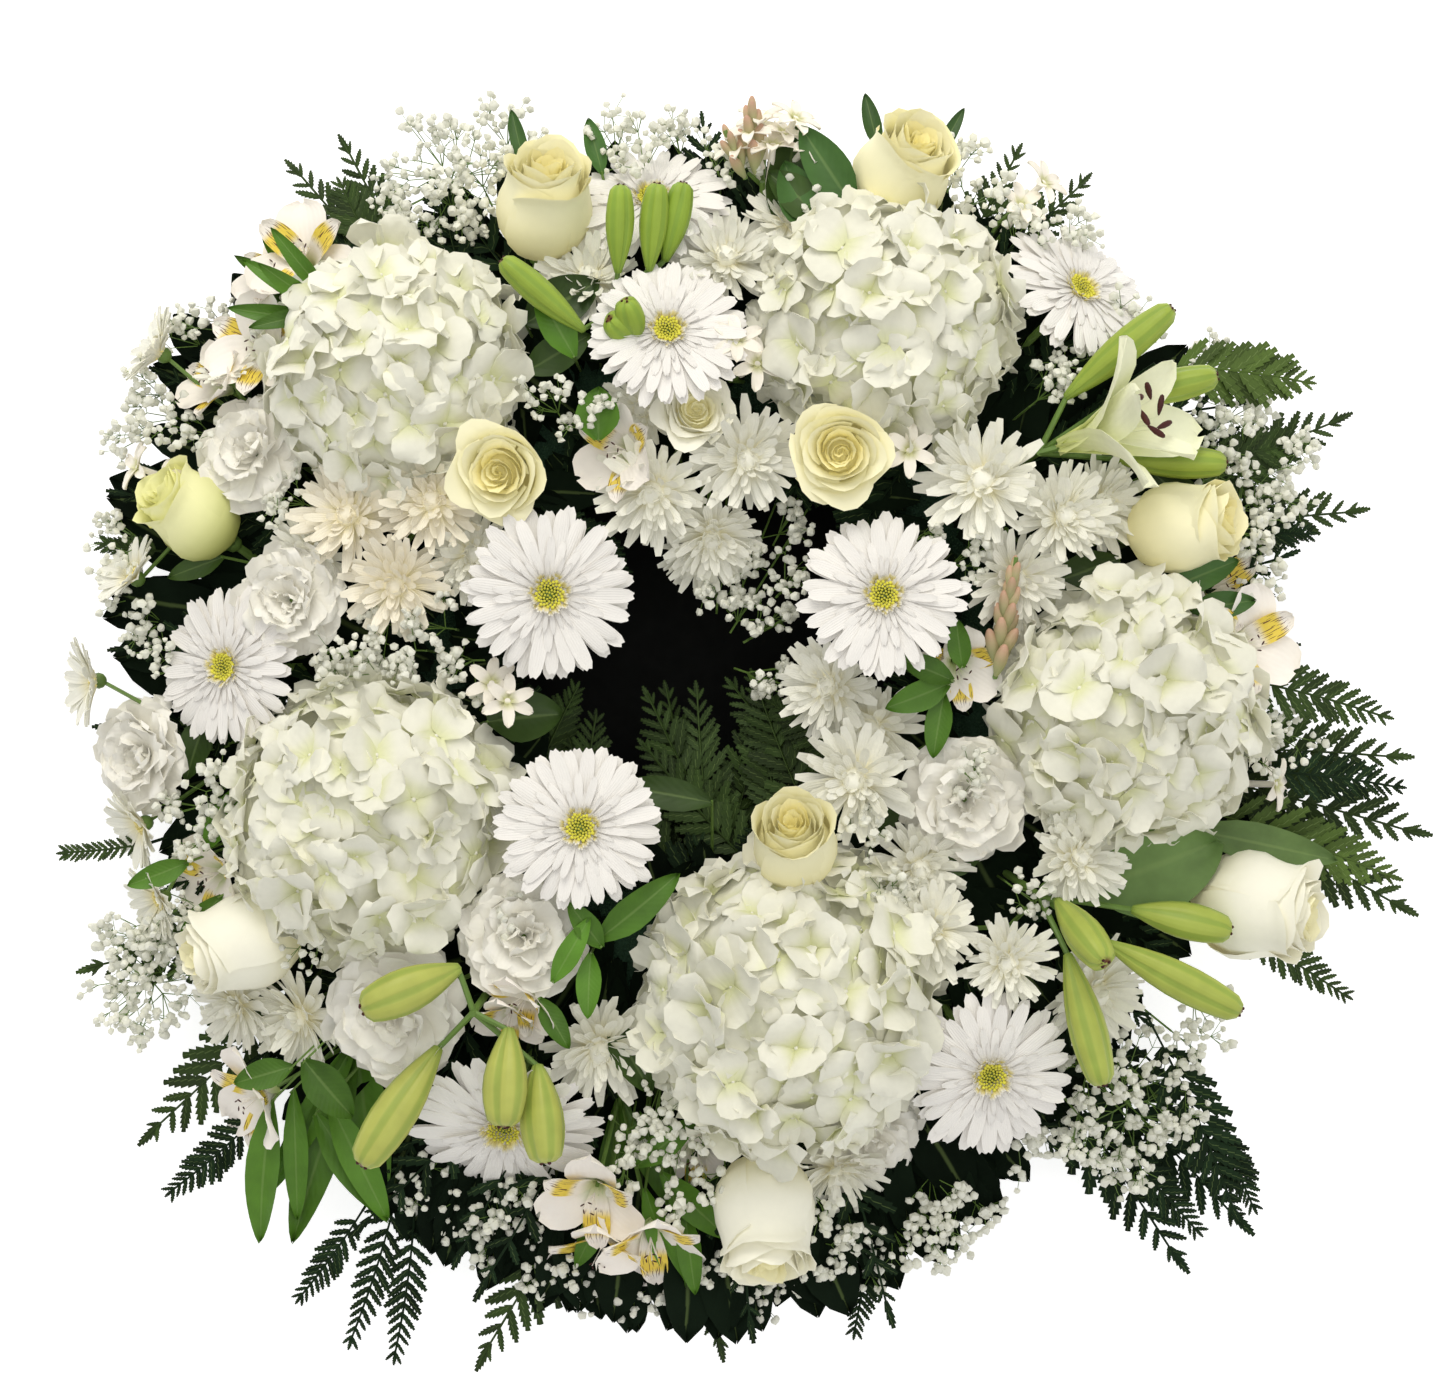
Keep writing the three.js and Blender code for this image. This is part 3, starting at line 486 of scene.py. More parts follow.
class Finishes:
    """Every material of the wreath, made once."""

    def __init__(self, colours):
        petals, leaves = petal_effect(), leaf_effect()

        def petal_finish(name, foot, rim, start, end, variation=0.08, veins=60.0, depth=0.05, **numbers):
            values = {"Foot": foot, "Rim": rim, "From": start, "To": end, "Variation": variation, "Veins": veins}

            def build(tree):
                made = place_group(tree, petals, values)
                # The petal's colour also feeds its emission: the painted glow.
                return {"Base Color": made["Color"], "Height": made["Height"], "Emission Color": made["Color"]}

            settings = {"roughness": 0.6, "specular_ior_level": 0.3, "emission_strength": PAINTED_GLOW} | numbers
            return new_material(name, build, depth, **settings)

        def leaf_finish(name, green, veins, depth=0.15, **numbers):
            def build(tree):
                made = place_group(tree, leaves, {"Green": green, "Veins": veins})
                return {"Base Color": made["Color"], "Height": made["Height"]}

            return new_material(name, build, depth, **({"roughness": 0.45, "specular_ior_level": 0.3} | numbers))

        c = {key: tuple(getattr(colours, key)) for key in WreathColours.__annotations__}
        self.hydrangea = petal_finish("hydrangea petal", c["hydrangea_eye"], c["hydrangea"], -0.1, 0.45, 0.12, 30.0)
        self.hydrangea_core = petal_finish("hydrangea core", c["hydrangea_eye"], c["hydrangea"], -1.0, 1.0, 0.3)
        self.gerbera = petal_finish("gerbera petal", c["gerbera"], c["gerbera"], 0.0, 0.6, 0.06, 38.0, 0.08)
        self.gerbera_eye = petal_finish("gerbera eye", c["gerbera_eye"], c["gerbera_eye"], 0.0, 1.0, 0.6, emission_strength=0.0)
        self.gerbera_ring = petal_finish("gerbera ring", c["gerbera_ring"], c["gerbera"], 0.2, 1.0, 0.3)
        self.rose = petal_finish("rose petal", c["rose_foot"], c["rose"], 0.1, 0.8, 0.05, 60.0, 0.02)
        self.rose_heart = petal_finish("rose heart petal", c["rose_foot"], c["rose_heart"], 0.2, 0.8, 0.05, 60.0, 0.02)
        self.rose_lime = petal_finish("lime rose petal", c["lily_bud"], c["rose_lime"], 0.0, 0.8, 0.05, 60.0, 0.02)
        self.rose_pale = petal_finish("pale rose petal", c["rose_foot"], c["rose_pale"], -0.1, 0.5, 0.05, 60.0, 0.02)
        self.mum = petal_finish("chrysanthemum petal", c["mum_heart"], c["mum"], 0.0, 0.45, 0.16, 25.0, 0.06)
        self.cream_mum = petal_finish("cream chrysanthemum petal", c["rose_foot"], (0.86, 0.81, 0.67), -0.1, 0.5, 0.16, 25.0, 0.06)
        self.lisianthus = petal_finish("lisianthus petal", c["lisianthus"], c["lisianthus"], 0.0, 1.0, 0.06, 80.0)
        self.alstroemeria = petal_finish("alstroemeria tepal", (0.45, 0.55, 0.2), c["alstroemeria"], 0.0, 0.35)
        self.tuberose = petal_finish("tuberose floret", (0.6, 0.6, 0.3), c["tuberose"], 0.0, 0.3, 0.12)
        self.tuberose_bud = petal_finish("tuberose bud", (0.4, 0.42, 0.2), c["tuberose_tip"], 0.3, 0.95, 0.2)
        self.breath = petal_finish("baby's breath", c["breath"], c["breath"], 0.0, 1.0, 0.16)
        self.lily_tepal = petal_finish("lily tepal", (0.68, 0.72, 0.3), (0.86, 0.87, 0.64), 0.0, 0.6, 0.1, 40.0, 0.1)
        self.anther = petal_finish("anther", (0.06, 0.012, 0.01), (0.06, 0.012, 0.01), 0.0, 1.0, 0.3, emission_strength=0.0)
        self.fern = leaf_finish("fern", c["fern"], 60.0, 0.1, roughness=0.55, specular_ior_level=0.22)
        # A lighter copy of the fern green as painted light.
        self.bright_fern = leaf_finish("bright fern", c["bright_fern"], 60.0, 0.1, roughness=0.6, specular_ior_level=0.22)
        # Darker copies of the fern and leaf greens as painted shade.
        self.shaded_fern = leaf_finish("shaded fern", c["shaded_fern"], 60.0, 0.1, roughness=0.75, specular_ior_level=0.12)
        self.shade = leaf_finish("shaded leaf", c["shade"], 40.0, 0.1, roughness=0.85, specular_ior_level=0.06)
        self.leaf = leaf_finish("bright leaf", c["leaf"], 90.0, 0.1)
        self.dark_leaf = leaf_finish("dark leaf", c["dark_leaf"], 60.0, 0.1)
        self.sage = leaf_finish("sage leaf", (0.15, 0.245, 0.075), 60.0, 0.1, roughness=0.6)
        self.deep_leaf = leaf_finish("deep green leaf", (0.05, 0.12, 0.025), 60.0, 0.1)
        self.stem = leaf_finish("stem", c["stem"], 6.0, 0.05)
        self.streaked = new_material("streaked tepal", lambda tree: self.streaks(tree, petals, c), 0.05, roughness=0.5)
        self.bud = new_material("lily bud", lambda tree: self.bud_skin(tree, c), 0.3, roughness=0.42, specular_ior_level=0.25)
        self.foam = new_material("floral foam", lambda tree: self.foam_pores(tree, c["foam"]), 0.8, roughness=0.95)
        self.lining = new_material("black film", lambda tree: self.film(tree, c["lining"]), 0.6, specular_ior_level=0.12)
        self.tray = new_material("tray plastic", lambda tree: self.moulded(tree, c["tray"]), 0.1, roughness=0.4)

    def streaks(self, tree, petals, c):
        """A tepal with a yellow throat and short brown streaks."""
        made = place_group(tree, petals, {"Foot": (0.5, 0.55, 0.2), "Rim": c["alstroemeria"], "From": 0.0, "To": 0.3})
        uv = node(tree, "ShaderNodeUVMap", uv_map="UVMap")
        across, along, _ = tree.nodes.new("ShaderNodeSeparateXYZ").outputs
        tree.links.new(uv, across.node.inputs[0])
        low, high = ramp(tree, along, 0.3, 0.45), ramp(tree, along, 0.62, 0.78)
        throat = maths(tree, "SUBTRACT", low, high)
        tint = blend(tree, throat, made["Color"], (0.86, 0.66, 0.08))
        stretched = node(tree, "ShaderNodeMapping", {"Vector": uv, "Scale": (26.0, 5.0, 1.0)})
        dashes = ramp(tree, noise(tree, 1.0, 0.0, stretched), 0.6, 0.66)
        marks = maths(tree, "MULTIPLY", dashes, maths(tree, "SUBTRACT", ramp(tree, along, 0.3, 0.4), ramp(tree, along, 0.75, 0.9)))
        return {"Base Color": blend(tree, marks, tint, (0.1, 0.02, 0.015)), "Height": made["Height"]}

    def bud_skin(self, tree, c):
        """Yellow-green flanks, greener ribs and foot, and a brown-dotted tip."""
        uv = node(tree, "ShaderNodeUVMap", uv_map="UVMap")
        across, along, _ = tree.nodes.new("ShaderNodeSeparateXYZ").outputs
        tree.links.new(uv, across.node.inputs[0])
        wave = maths(tree, "COSINE", maths(tree, "MULTIPLY", across, 6 * math.pi))
        rib = ramp(tree, maths(tree, "ABSOLUTE", wave), 0.72, 1.0)
        foot = maths(tree, "SUBTRACT", 1.0, ramp(tree, along, 0.02, 0.35))
        green = maths(tree, "MAXIMUM", maths(tree, "MULTIPLY", rib, 0.45), maths(tree, "MULTIPLY", foot, 0.7))
        tone = node(tree, "ShaderNodeAttribute", output=2, attribute_name="tone")
        value = maths(tree, "ADD", 0.85, maths(tree, "MULTIPLY", noise(tree, 80.0), 0.3))
        tint = blend(tree, green, blend(tree, tone, c["lily_green"], c["lily_bud"]), c["lily_rib"])
        tint = node(tree, "ShaderNodeHueSaturation", {"Color": tint, "Value": value})
        tip = ramp(tree, along, 0.9, 0.97)
        dots = maths(tree, "MULTIPLY", tip, ramp(tree, noise(tree, 300.0), 0.44, 0.52))
        fine = maths(tree, "SINE", maths(tree, "MULTIPLY", across, 150.0))
        height = maths(tree, "SUBTRACT", maths(tree, "MULTIPLY", fine, 0.08), rib)
        return {"Base Color": blend(tree, dots, tint, (0.14, 0.05, 0.02)), "Height": height}

    def foam_pores(self, tree, green):
        """Fine open cells and darker dents."""
        where = node(tree, "ShaderNodeTexCoord", output=3)
        cells = node(tree, "ShaderNodeTexVoronoi", {"Vector": where, "Scale": 700.0})
        patches = noise(tree, 25.0, 4.0, where)
        value = maths(tree, "ADD", 0.6, maths(tree, "MULTIPLY", patches, 0.8))
        tint = node(tree, "ShaderNodeHueSaturation", {"Color": green, "Value": value})
        return {"Base Color": tint, "Height": maths(tree, "ADD", cells, maths(tree, "MULTIPLY", patches, 2.0))}

    def film(self, tree, black):
        """Slack plastic film: soft creases and an uneven, dull shine."""
        where = node(tree, "ShaderNodeTexCoord", output=3)
        folds = node(tree, "ShaderNodeTexNoise", {"Vector": where, "Scale": 16.0, "Detail": 5.0, "Distortion": 1.6})
        dust = noise(tree, 120.0, 6.0, where)
        tint = blend(tree, maths(tree, "MULTIPLY", dust, 0.2), black, (0.008, 0.009, 0.008))
        shine = maths(tree, "ADD", 0.6, maths(tree, "MULTIPLY", dust, 0.3))
        return {"Base Color": tint, "Height": folds, "Roughness": shine}

    def moulded(self, tree, green):
        """Moulded plastic with a fine grain and scuffs."""
        where = node(tree, "ShaderNodeTexCoord", output=3)
        scuff = noise(tree, 45.0, 8.0, where)
        tint = blend(tree, maths(tree, "MULTIPLY", scuff, 0.25), green, (0.05, 0.09, 0.055))
        return {"Base Color": tint, "Height": noise(tree, 1400.0, 2.0, where), "Roughness": maths(tree, "MULTIPLY", scuff, 0.8)}


_made = {}


def finishes():
    if "finishes" not in _made:
        _made["finishes"] = Finishes(bpy.context.scene.wreath_colours)
    return _made["finishes"]


def shape(key, make):
    """A small mesh that is made once and used by many flowers."""
    if key not in _made:
        _made[key] = make()
    return _made[key]


def rod(sides=6, slot=0):
    return shape(("rod", sides, slot), lambda: rod_mesh("rod", sides, slot))


def stalk(bunch, place, back, radius, slot, at, azimuth=None, foot=None):
    """The stem of a single flower, from the foam to the back of its head."""
    neck = place @ (Vector((0, 0, -back)) * MM)
    knee = place @ (Vector((0, 0, -back - 20)) * MM)
    bunch.stem(rod(6, slot), [foot_of(at, azimuth, foot), knee, neck], radius)


# ---------------------------------------------------------------- where the flowers are

# Single flowers: point in millimetres, the way they face (azimuth, tilt), spin, and radius.
ROSES = [
    ((-99, 268, 108), (78, 46), 20, "bud", "cream", 1.0),
    ((113, 287, 104), (62, 42), 75, "bud", "cream", 1.0),
    ((276, 79, 112), (8, 58), 140, "bud", "cream", 0.98),
    ((74, 120, 150), (250, 6), 200, "open", "cream", 0.82),
    ((-121, 109, 150), (240, 10), 250, "open", "cream", 0.78),
    ((-309, 87, 96), (142, 55), 10, "bud", "lime", 0.9),
    ((48, -106, 150), (100, 34), 90, "bud", "cream", 0.86),
    ((322, -146, 96), (-10, 62), 50, "bud", "pale", 1.12),
    ((31, -328, 100), (-88, 56), 300, "bud", "pale", 1.12),
    ((-276, -166, 106), (196, 66), 120, "bud", "pale", 1.04),
]
GERBERAS = [
    ((-94, 38, 150), (-20, 10), 52), ((99, 37, 150), (100, 8), 50), ((-76, -97, 150), (60, 8), 50),
    ((-286, -4, 112), (175, 28), 50), ((163, -243, 122), (-55, 18), 52), ((-123, -276, 106), (-98, 42), 60),
    ((-26, 190, 142), (80, 20), 48), ((-36, 274, 94), (96, 42), 50), ((218, 220, 96), (46, 44), 51),
]
HYDRANGEAS = [
    ((-188, 170, 108), 72), ((101, 199, 108), 72), ((244, -30, 108), 72), ((46, -200, 112), 86), ((-203, -92, 110), 80),
]
# Sprays: the fork of the stem, and each head's point, facing and radius or length.
MUM_SPRAYS = [
    ((-186, 66, 84), [((-212, 84, 124), (150, 12), 29), ((-163, 92, 130), (80, 8), 28), ((-184, 44, 128), (250, 14), 28)]),
    ((-6, 150, 84), [((-34, 100, 118), (250, 24), 31), ((20, 118, 122), (300, 14), 30), ((0, 74, 104), (270, 34), 27)]),
    ((176, 82, 84), [((158, 104, 130), (140, 8), 33), ((205, 84, 124), (20, 14), 28), ((178, 48, 122), (290, 14), 27)]),
    ((140, -46, 80), [((70, -16, 108), (170, 24), 28), ((84, -70, 128), (200, 12), 31)]),
    ((178, -160, 80), [((128, -158, 124), (160, 10), 27), ((172, -176, 130), (250, 10), 25), ((214, -116, 124), (20, 14), 27)]),
]
DAISY_SPRAYS = [
    ((-268, 132, 74), 157, [((-330, 184, 84), (148, 66), 29), ((-288, 170, 92), (110, 54), 22), ((-346, 50, 82), (140, 60), 27)]),
    ((-286, -58, 64), 194, [((-370, -12, 80), (184, 66), 30), ((-342, -98, 78), (208, 58), 28), ((-330, -142, 84), (205, 54), 27)]),
]
LISIANTHUS = [
    ((-252, 82, 76), None, None, [((-276, 126, 112), (150, 26), 34), ((-250, 36, 128), (170, 14), 33)]),
    ((-296, -52, 76), 184, None, [((-346, -58, 92), (186, 36), 35)]),
    ((-140, -186, 86), None, None, [((-109, -160, 140), (60, 8), 37), ((-187, -208, 132), (230, 14), 42)]),
    ((80, -262, 70), -72, 206, [((94, -290, 92), (-70, 34), 35)]),
    ((144, -84, 76), None, None, [((150, -84, 124), (300, 8), 38)]),
]
ALSTROEMERIAS = [
    ((-238, 214, 78), 139, None, [((-244, 243, 104), (112, 26)), ((-270, 186, 108), (160, 24))],
     [(150, 58, 12, 26, 0), (128, 52, 11, 18, 0), (170, 50, 11, 10, 0)]),
    ((276, 22, 64), 8, 212, [((320, 10, 106), (0, 26)), ((306, 46, 92), (22, 44))], [(30, 62, 16, 12, 0)]),
    ((-56, -262, 68), -104, 206,
     [((-72, -322, 104), (-112, 34)), ((-36, -352, 96), (-84, 50)), ((-68, -360, 80), (-104, 56))],
     [(-62, 84, 20, 14, 0), (-96, 118, 18, 10, 24)]),
    ((-214, -228, 74), 227, 206, [((-278, -264, 92), (206, 58))],
     [(252, 132, 26, 30, 44), (240, 110, 18, 34, 40), (276, 112, 30, 6, 20)]),
]
LILIES = [
    ((192, 122, 116), 33, 205, 9.8,
     [((236, 178, 138), (40, 74), 82), ((266, 160, 122), (12, 78), 62), ((272, 118, 104), (-3, 82), 66)], ((240, 138, 146), (20, 54))),
    ((192, -138, 118), -36, 200, 11.0, [((212, -156, 154), (-56, 40), 62), ((274, -152, 128), (-12, 80), 60),
     ((268, -184, 138), (-27, 80), 88), ((216, -208, 142), (-76, 80), 80)], None),
    ((-138, -204, 142), 236, 190, 13.0, [((-172, -188, 162), (202, 78), 62), ((-180, -258, 144), (237, 78), 82),
     ((-118, -240, 154), (-92, 76), 58), ((-98, -262, 146), (-84, 78), 58)], None),
    ((-58, 206, 108), 107, 186, 8.4, [((-54, 250, 138), (88, 78), 52), ((-34, 252, 132), (84, 78), 52), ((-22, 256, 126), (76, 78), 48),
     ((-97, 210, 150), (140, 76), 64), ((-46, 196, 150), (110, 50), 28), ((-52, 192, 146), (150, 50), 22)], None),
]
TUBEROSE = ((30, 284, 92), 82, 208, [((46, 306, 108), (60, 48)), ((30, 318, 100), (95, 56)), ((14, 300, 112), (128, 40))])
BREATHS = [
    ((-158, 290, 70), 120, 44), ((318, 116, 66), 20, 48), ((252, -268, 62), -47, 50), ((-340, -196, 56), 210, 40),
]
FERNS = [
    ((128, 218), [(121, 152), (134, 158)]), ((56, 218), [(64, 128), (46, 136)]), ((17, 218), [(26, 176), (8, 168)]),
    ((-14, 218), [(-1, 190), (-13, 204), (-27, 210)]), ((-50, 218), [(-44, 234), (-54, 224)]),
    ((-99, 218), [(-78, 190), (-118, 214)]), ((214, 218), [(226, 214), (197, 190)]),
    ((-88, 158), [(104, 126), (76, 132), (50, 110), (136, 112)]),
]

# Smaller flowers and leaves that fill the spaces between the larger ones.
MORE_MUMS = [
    ((-236, 60, 112), (180, 20), 26), ((-141, 62, 120), (0, 14), 26), ((-246, -212, 88), (220, 40), 30),
    ((-66, -229, 104), (280, 24), 32), ((75, -304, 84), (280, 46), 28), ((228, -197, 92), (-40, 30), 30),
    ((226, -104, 100), (0, 20), 28), ((122, -122, 112), (300, 14), 28), ((-4, 64, 92), (270, 44), 24),
    ((-284, -206, 84), (210, 40), 26), ((230, 92, 104), (20, 26), 28), ((-40, 148, 112), (200, 16), 24),
    ((8, 236, 108), (80, 24), 30), ((-72, 226, 104), (110, 20), 28), ((96, -40, 104), (200, 20), 28), ((190, -4, 108), (200, 10), 24),
    ((-170, -140, 108), (240, 30), 26), ((46, 262, 92), (70, 30), 24),
]
STARS = [
    ((184, 271, 92), (56, 40)), ((198, 286, 84), (40, 54)), ((114, 121, 142), (0, 10)), ((14, 185, 140), (60, 20)),
    ((-342, 115, 92), (160, 60)), ((296, -82, 92), (-20, 40)), ((337, -74, 84), (0, 54)), ((-119, -24, 138), (20, 20)),
    ((-128, -14, 132), (120, 24)), ((328, -52, 80), (20, 60)), ((26, 172, 134), (20, 24)), ((-324, 104, 96), (150, 40)),
]
MORE_ALSTROEMERIAS = [
    ((-56, 122, 132), (190, 34), 25), ((146, -6, 124), (300, 24), 22), ((-112, -200, 140), (230, 50), 20),
    ((-301, -129, 96), (200, 40), 24), ((-10, -300, 84), (-100, 40), 22), ((-300, 168, 92), (150, 50), 22),
    ((-262, 232, 96), (130, 40), 22), ((-120, -212, 132), (250, 50), 18),
]
ROSETTES = [((-10, 144, 128), (60, 14), 19)]
SPRIGS = [
    (-142, 294, 84), (-162, 282, 84), (-182, 262, 78), (-200, 272, 70), (-112, 306, 76), (-128, 322, 66), (-42, 306, 80),
    (-60, 318, 70), (5, 300, 84), (-20, 316, 70), (187, 259, 84), (216, 262, 70), (150, 300, 76), (160, 282, 84),
    (216, 182, 100), (200, 160, 112), (305, 135, 84), (328, 94, 78), (340, 60, 72), (300, 180, 72), (320, 150, 72), (330, 120, 76),
    (320, 80, 88), (250, 206, 80), (4, 46, 84), (20, 32, 84), (24, 60, 84), (34, 20, 84), (30, -10, 80), (44, 84, 92), (50, 50, 92), (-95, 153, 130),
    (-70, 141, 130), (-222, 6, 118), (-183, 6, 128), (-200, 22, 122), (-166, 20, 124), (-150, 0, 120), (-206, -8, 128),
    (-342, 165, 76), (-350, 141, 72), (-330, 150, 84), (-318, 196, 72), (-300, 204, 80), (-310, 140, 84), (-342, 24, 76),
    (-354, 74, 70), (-356, 40, 66), (-330, 4, 78), (-342, -159, 72), (-360, -172, 62), (-330, -172, 66), (-320, -150, 84),
    (-350, -190, 60), (-295, -76, 108), (-300, -104, 100), (-316, -90, 92), (311, -47, 96), (330, -56, 86), (322, -30, 84), (350, -44, 70),
    (246, -247, 84), (262, -288, 70), (288, -232, 76), (226, -280, 84), (250, -310, 60), (270, -262, 72), (232, -256, 80),
    (128, -341, 72), (112, -353, 66), (136, -320, 76), (146, -350, 60), (5, -371, 60), (36, -374, 58), (-14, -376, 56),
    (-136, -330, 68), (-160, -338, 60), (-110, -340, 60), (-31, -259, 104), (-14, -286, 100), (-40, -284, 96), (-20, -236, 112),
    (-80, -376, 58), (90, -366, 58), (-260, 210, 88), (-250, 96, 112), (60, 282, 92), (150, 236, 120), (236, 30, 120),
    (60, -362, 64), (20, -384, 58), (-44, -386, 58), (-100, -366, 60), (-130, -354, 62), (-178, -322, 64), (-118, -312, 74), (84, -342, 76),
    (156, -330, 68), (190, -296, 72), (-10, -262, 112), (-52, -300, 102), (8, -316, 94), (-26, -320, 92), (62, -330, 84),
    (206, -96, 116), (186, -140, 118), (150, -60, 120), (300, -210, 70), (-240, -160, 120), (-120, -140, 128), (120, 70, 124),
    (150, 60, 124), (310, 30, 84), (90, -100, 124), (110, -140, 120),
]
# Lance leaves: foot, azimuth, length, width, slope at foot and tip, and whether dark.
LEAVES = [
    ((-226, 206, 116), 150, 58, 12, (30, -10), False), ((-226, 214, 120), 128, 52, 11, (40, 0), False),
    ((-228, 200, 114), 172, 58, 12, (24, -14), False), ((-232, 210, 118), 140, 46, 11, (54, 20), False),
    ((-230, 204, 116), 196, 44, 11, (34, 0), False),
    ((-262, -262, 92), 262, 90, 21, (6, -26), False), ((-250, -256, 90), 272, 84, 15, (4, -30), False),
    ((-236, -270, 92), 303, 78, 22, (4, -26), False), ((-228, -262, 96), 296, 84, 20, (4, -28), False),
    ((-240, -236, 112), 310, 44, 24, (16, -20), False), ((-248, -240, 108), 196, 36, 18, (16, -20), False),
    ((-100, -196, 142), 300, 34, 14, (20, -10), False), ((-66, -162, 140), 40, 62, 20, (24, -14), False),
    ((-64, -166, 142), 128, 34, 15, (30, 0), False), ((-70, -170, 140), 268, 38, 15, (20, -10), False),
    ((-92, -186, 144), 60, 44, 14, (24, -14), False),
    ((138, -14, 128), 200, 40, 18, (20, -10), False), ((140, -12, 130), 160, 36, 16, (26, 0), False),
    ((136, -20, 126), 260, 38, 16, (16, -16), False), ((146, -4, 130), 96, 30, 14, (30, 0), False),
    ((-40, -316, 84), 288, 70, 17, (8, -34), False), ((-62, -316, 82), 250, 56, 16, (8, -34), False),
    ((-30, -306, 88), 314, 56, 19, (10, -22), False), ((-44, -300, 96), 40, 46, 17, (24, -10), False),
    ((-54, -312, 84), 190, 50, 16, (6, -24), False), ((-16, -330, 84), 276, 52, 15, (8, -24), False),
    ((-80, 176, 138), 120, 44, 20, (18, -10), False), ((268, 42, 112), 22, 46, 18, (10, -14), 4),
    ((282, 30, 108), 8, 40, 17, (8, -18), 4), ((300, 18, 82), -30, 36, 14, (6, -20), 4),
    ((-300, -112, 100), 60, 44, 15, (24, -10), False), ((-312, -120, 96), 200, 38, 15, (24, -10), False),
    ((-292, -140, 96), 230, 40, 15, (14, -20), False), ((-66, 128, 136), 90, 30, 26, (10, -14), False),
    ((84, 266, 112), 123, 58, 26, (6, -10), 4), ((60, 252, 108), 112, 46, 26, (6, -14), 4), ((70, 258, 108), 140, 48, 24, (6, -14), True),
    ((42, 256, 92), 84, 62, 28, (16, -10), True), ((-110, 198, 118), 30, 50, 30, (6, -14), True),
    ((224, -134, 104), 20, 80, 58, (12, -12), 3), ((284, -100, 96), -12, 92, 24, (6, -16), 3),
    ((-132, -36, 118), 8, 44, 32, (-2, -20), True), ((0, -84, 112), 170, 58, 20, (14, -10), True),
    ((92, -104, 114), 60, 34, 20, (12, -20), True), ((-220, -216, 110), 20, 40, 28, (12, -10), True),
    ((-112, 296, 84), 104, 36, 10, (10, -20), 4), ((100, 306, 84), 104, 36, 11, (10, -24), 4),
    ((134, 300, 80), 62, 38, 9, (10, -24), 4), ((-66, 292, 80), 104, 36, 13, (8, -24), 4),
    ((-110, 170, 112), 30, 44, 22, (10, -10), True), ((200, 24, 108), 250, 44, 20, (10, -10), True),
    ((262, 112, 96), -40, 44, 22, (10, -20), True), ((160, -110, 108), 200, 40, 22, (10, -10), True),
    ((-60, -214, 108), 300, 48, 22, (10, -14), True), ((-292, 62, 88), 200, 36, 14, (8, -20), True),
    ((-300, -30, 92), 250, 44, 20, (8, -20), True), ((240, 60, 108), 200, 44, 22, (10, -14), True),
]


# Fern fronds: foot, azimuth, length, width, slope, droop, and their green: plain (False), darker as painted shade
# (True), lighter as painted light (2).
FRONDS = [
    ((262, 176, 92), -6, 96, 54, 6, 16, 2), ((290, 118, 84), 10, 66, 40, 4, 16, False), ((300, 74, 80), 2, 60, 34, 4, 16, True),
    ((300, -8, 88), -14, 108, 44, 4, 14, False), ((290, -88, 84), -20, 128, 56, 4, 14, 2), ((320, -66, 80), -6, 96, 40, 2, 14, True),
    ((310, -160, 76), -30, 86, 32, 2, 16, False), ((262, -214, 76), -66, 132, 56, 2, 12, True),
    ((240, -290, 66), -46, 80, 36, 0, 12, True), ((296, -270, 70), -62, 70, 34, 0, 12, True),
    ((-196, 236, 84), 118, 56, 44, 8, 14, False), ((-190, 226, 84), 146, 60, 40, 8, 14, True),
    ((-340, -110, 72), 186, 52, 18, 0, 10, False), ((-330, 66, 72), 172, 38, 22, 0, 10, False),
    ((-270, -270, 74), 222, 78, 36, 0, 12, True), ((-190, -320, 66), 252, 100, 34, 0, 10, True),
    ((-210, -330, 66), 234, 70, 30, 0, 10, True), ((-180, -330, 64), 262, 96, 34, 0, 10, True),
    ((96, -340, 60), 262, 70, 32, 0, 10, True),
    ((24, -138, 62), 118, 134, 56, 2, 0, False), ((-12, -140, 64), 128, 112, 50, 3, 0, False), ((52, -128, 60), 104, 108, 48, 2, 0, False),
    ((-52, -132, 64), 112, 90, 46, 3, 0, False), ((-34, -136, 66), 138, 92, 48, 3, 0, False), ((4, -140, 60), 96, 124, 52, 2, 0, False),
    ((70, -118, 64), 112, 118, 50, 3, 0, False), ((-80, -124, 66), 84, 92, 46, 4, 0, False), ((36, -136, 66), 132, 116, 50, 3, 0, False), ((86, -96, 62), 132, 112, 50, 2, 0, False), ((96, -60, 66), 150, 70, 40, 4, 0, False),
    ((-112, -84, 64), 66, 74, 40, 4, 0, False), ((-100, 90, 92), -40, 60, 40, 4, 8, True),
]
# How far the near-black leaves of painted shade reach out: azimuth and radius.
RIM = [(-130, 390), (-113, 408), (-86, 416), (-76, 402), (-63, 380), (-50, 350), (0, 346), (30, 350), (48, 330), (60, 326),
       (90, 322), (120, 334), (136, 360), (150, 392), (166, 384), (180, 366), (205, 362), (215, 352), (230, 390)]



# ---------------------------------------------------------------- flower heads

# A head is added to a bunch at a place. Radii and lengths are in millimetres.


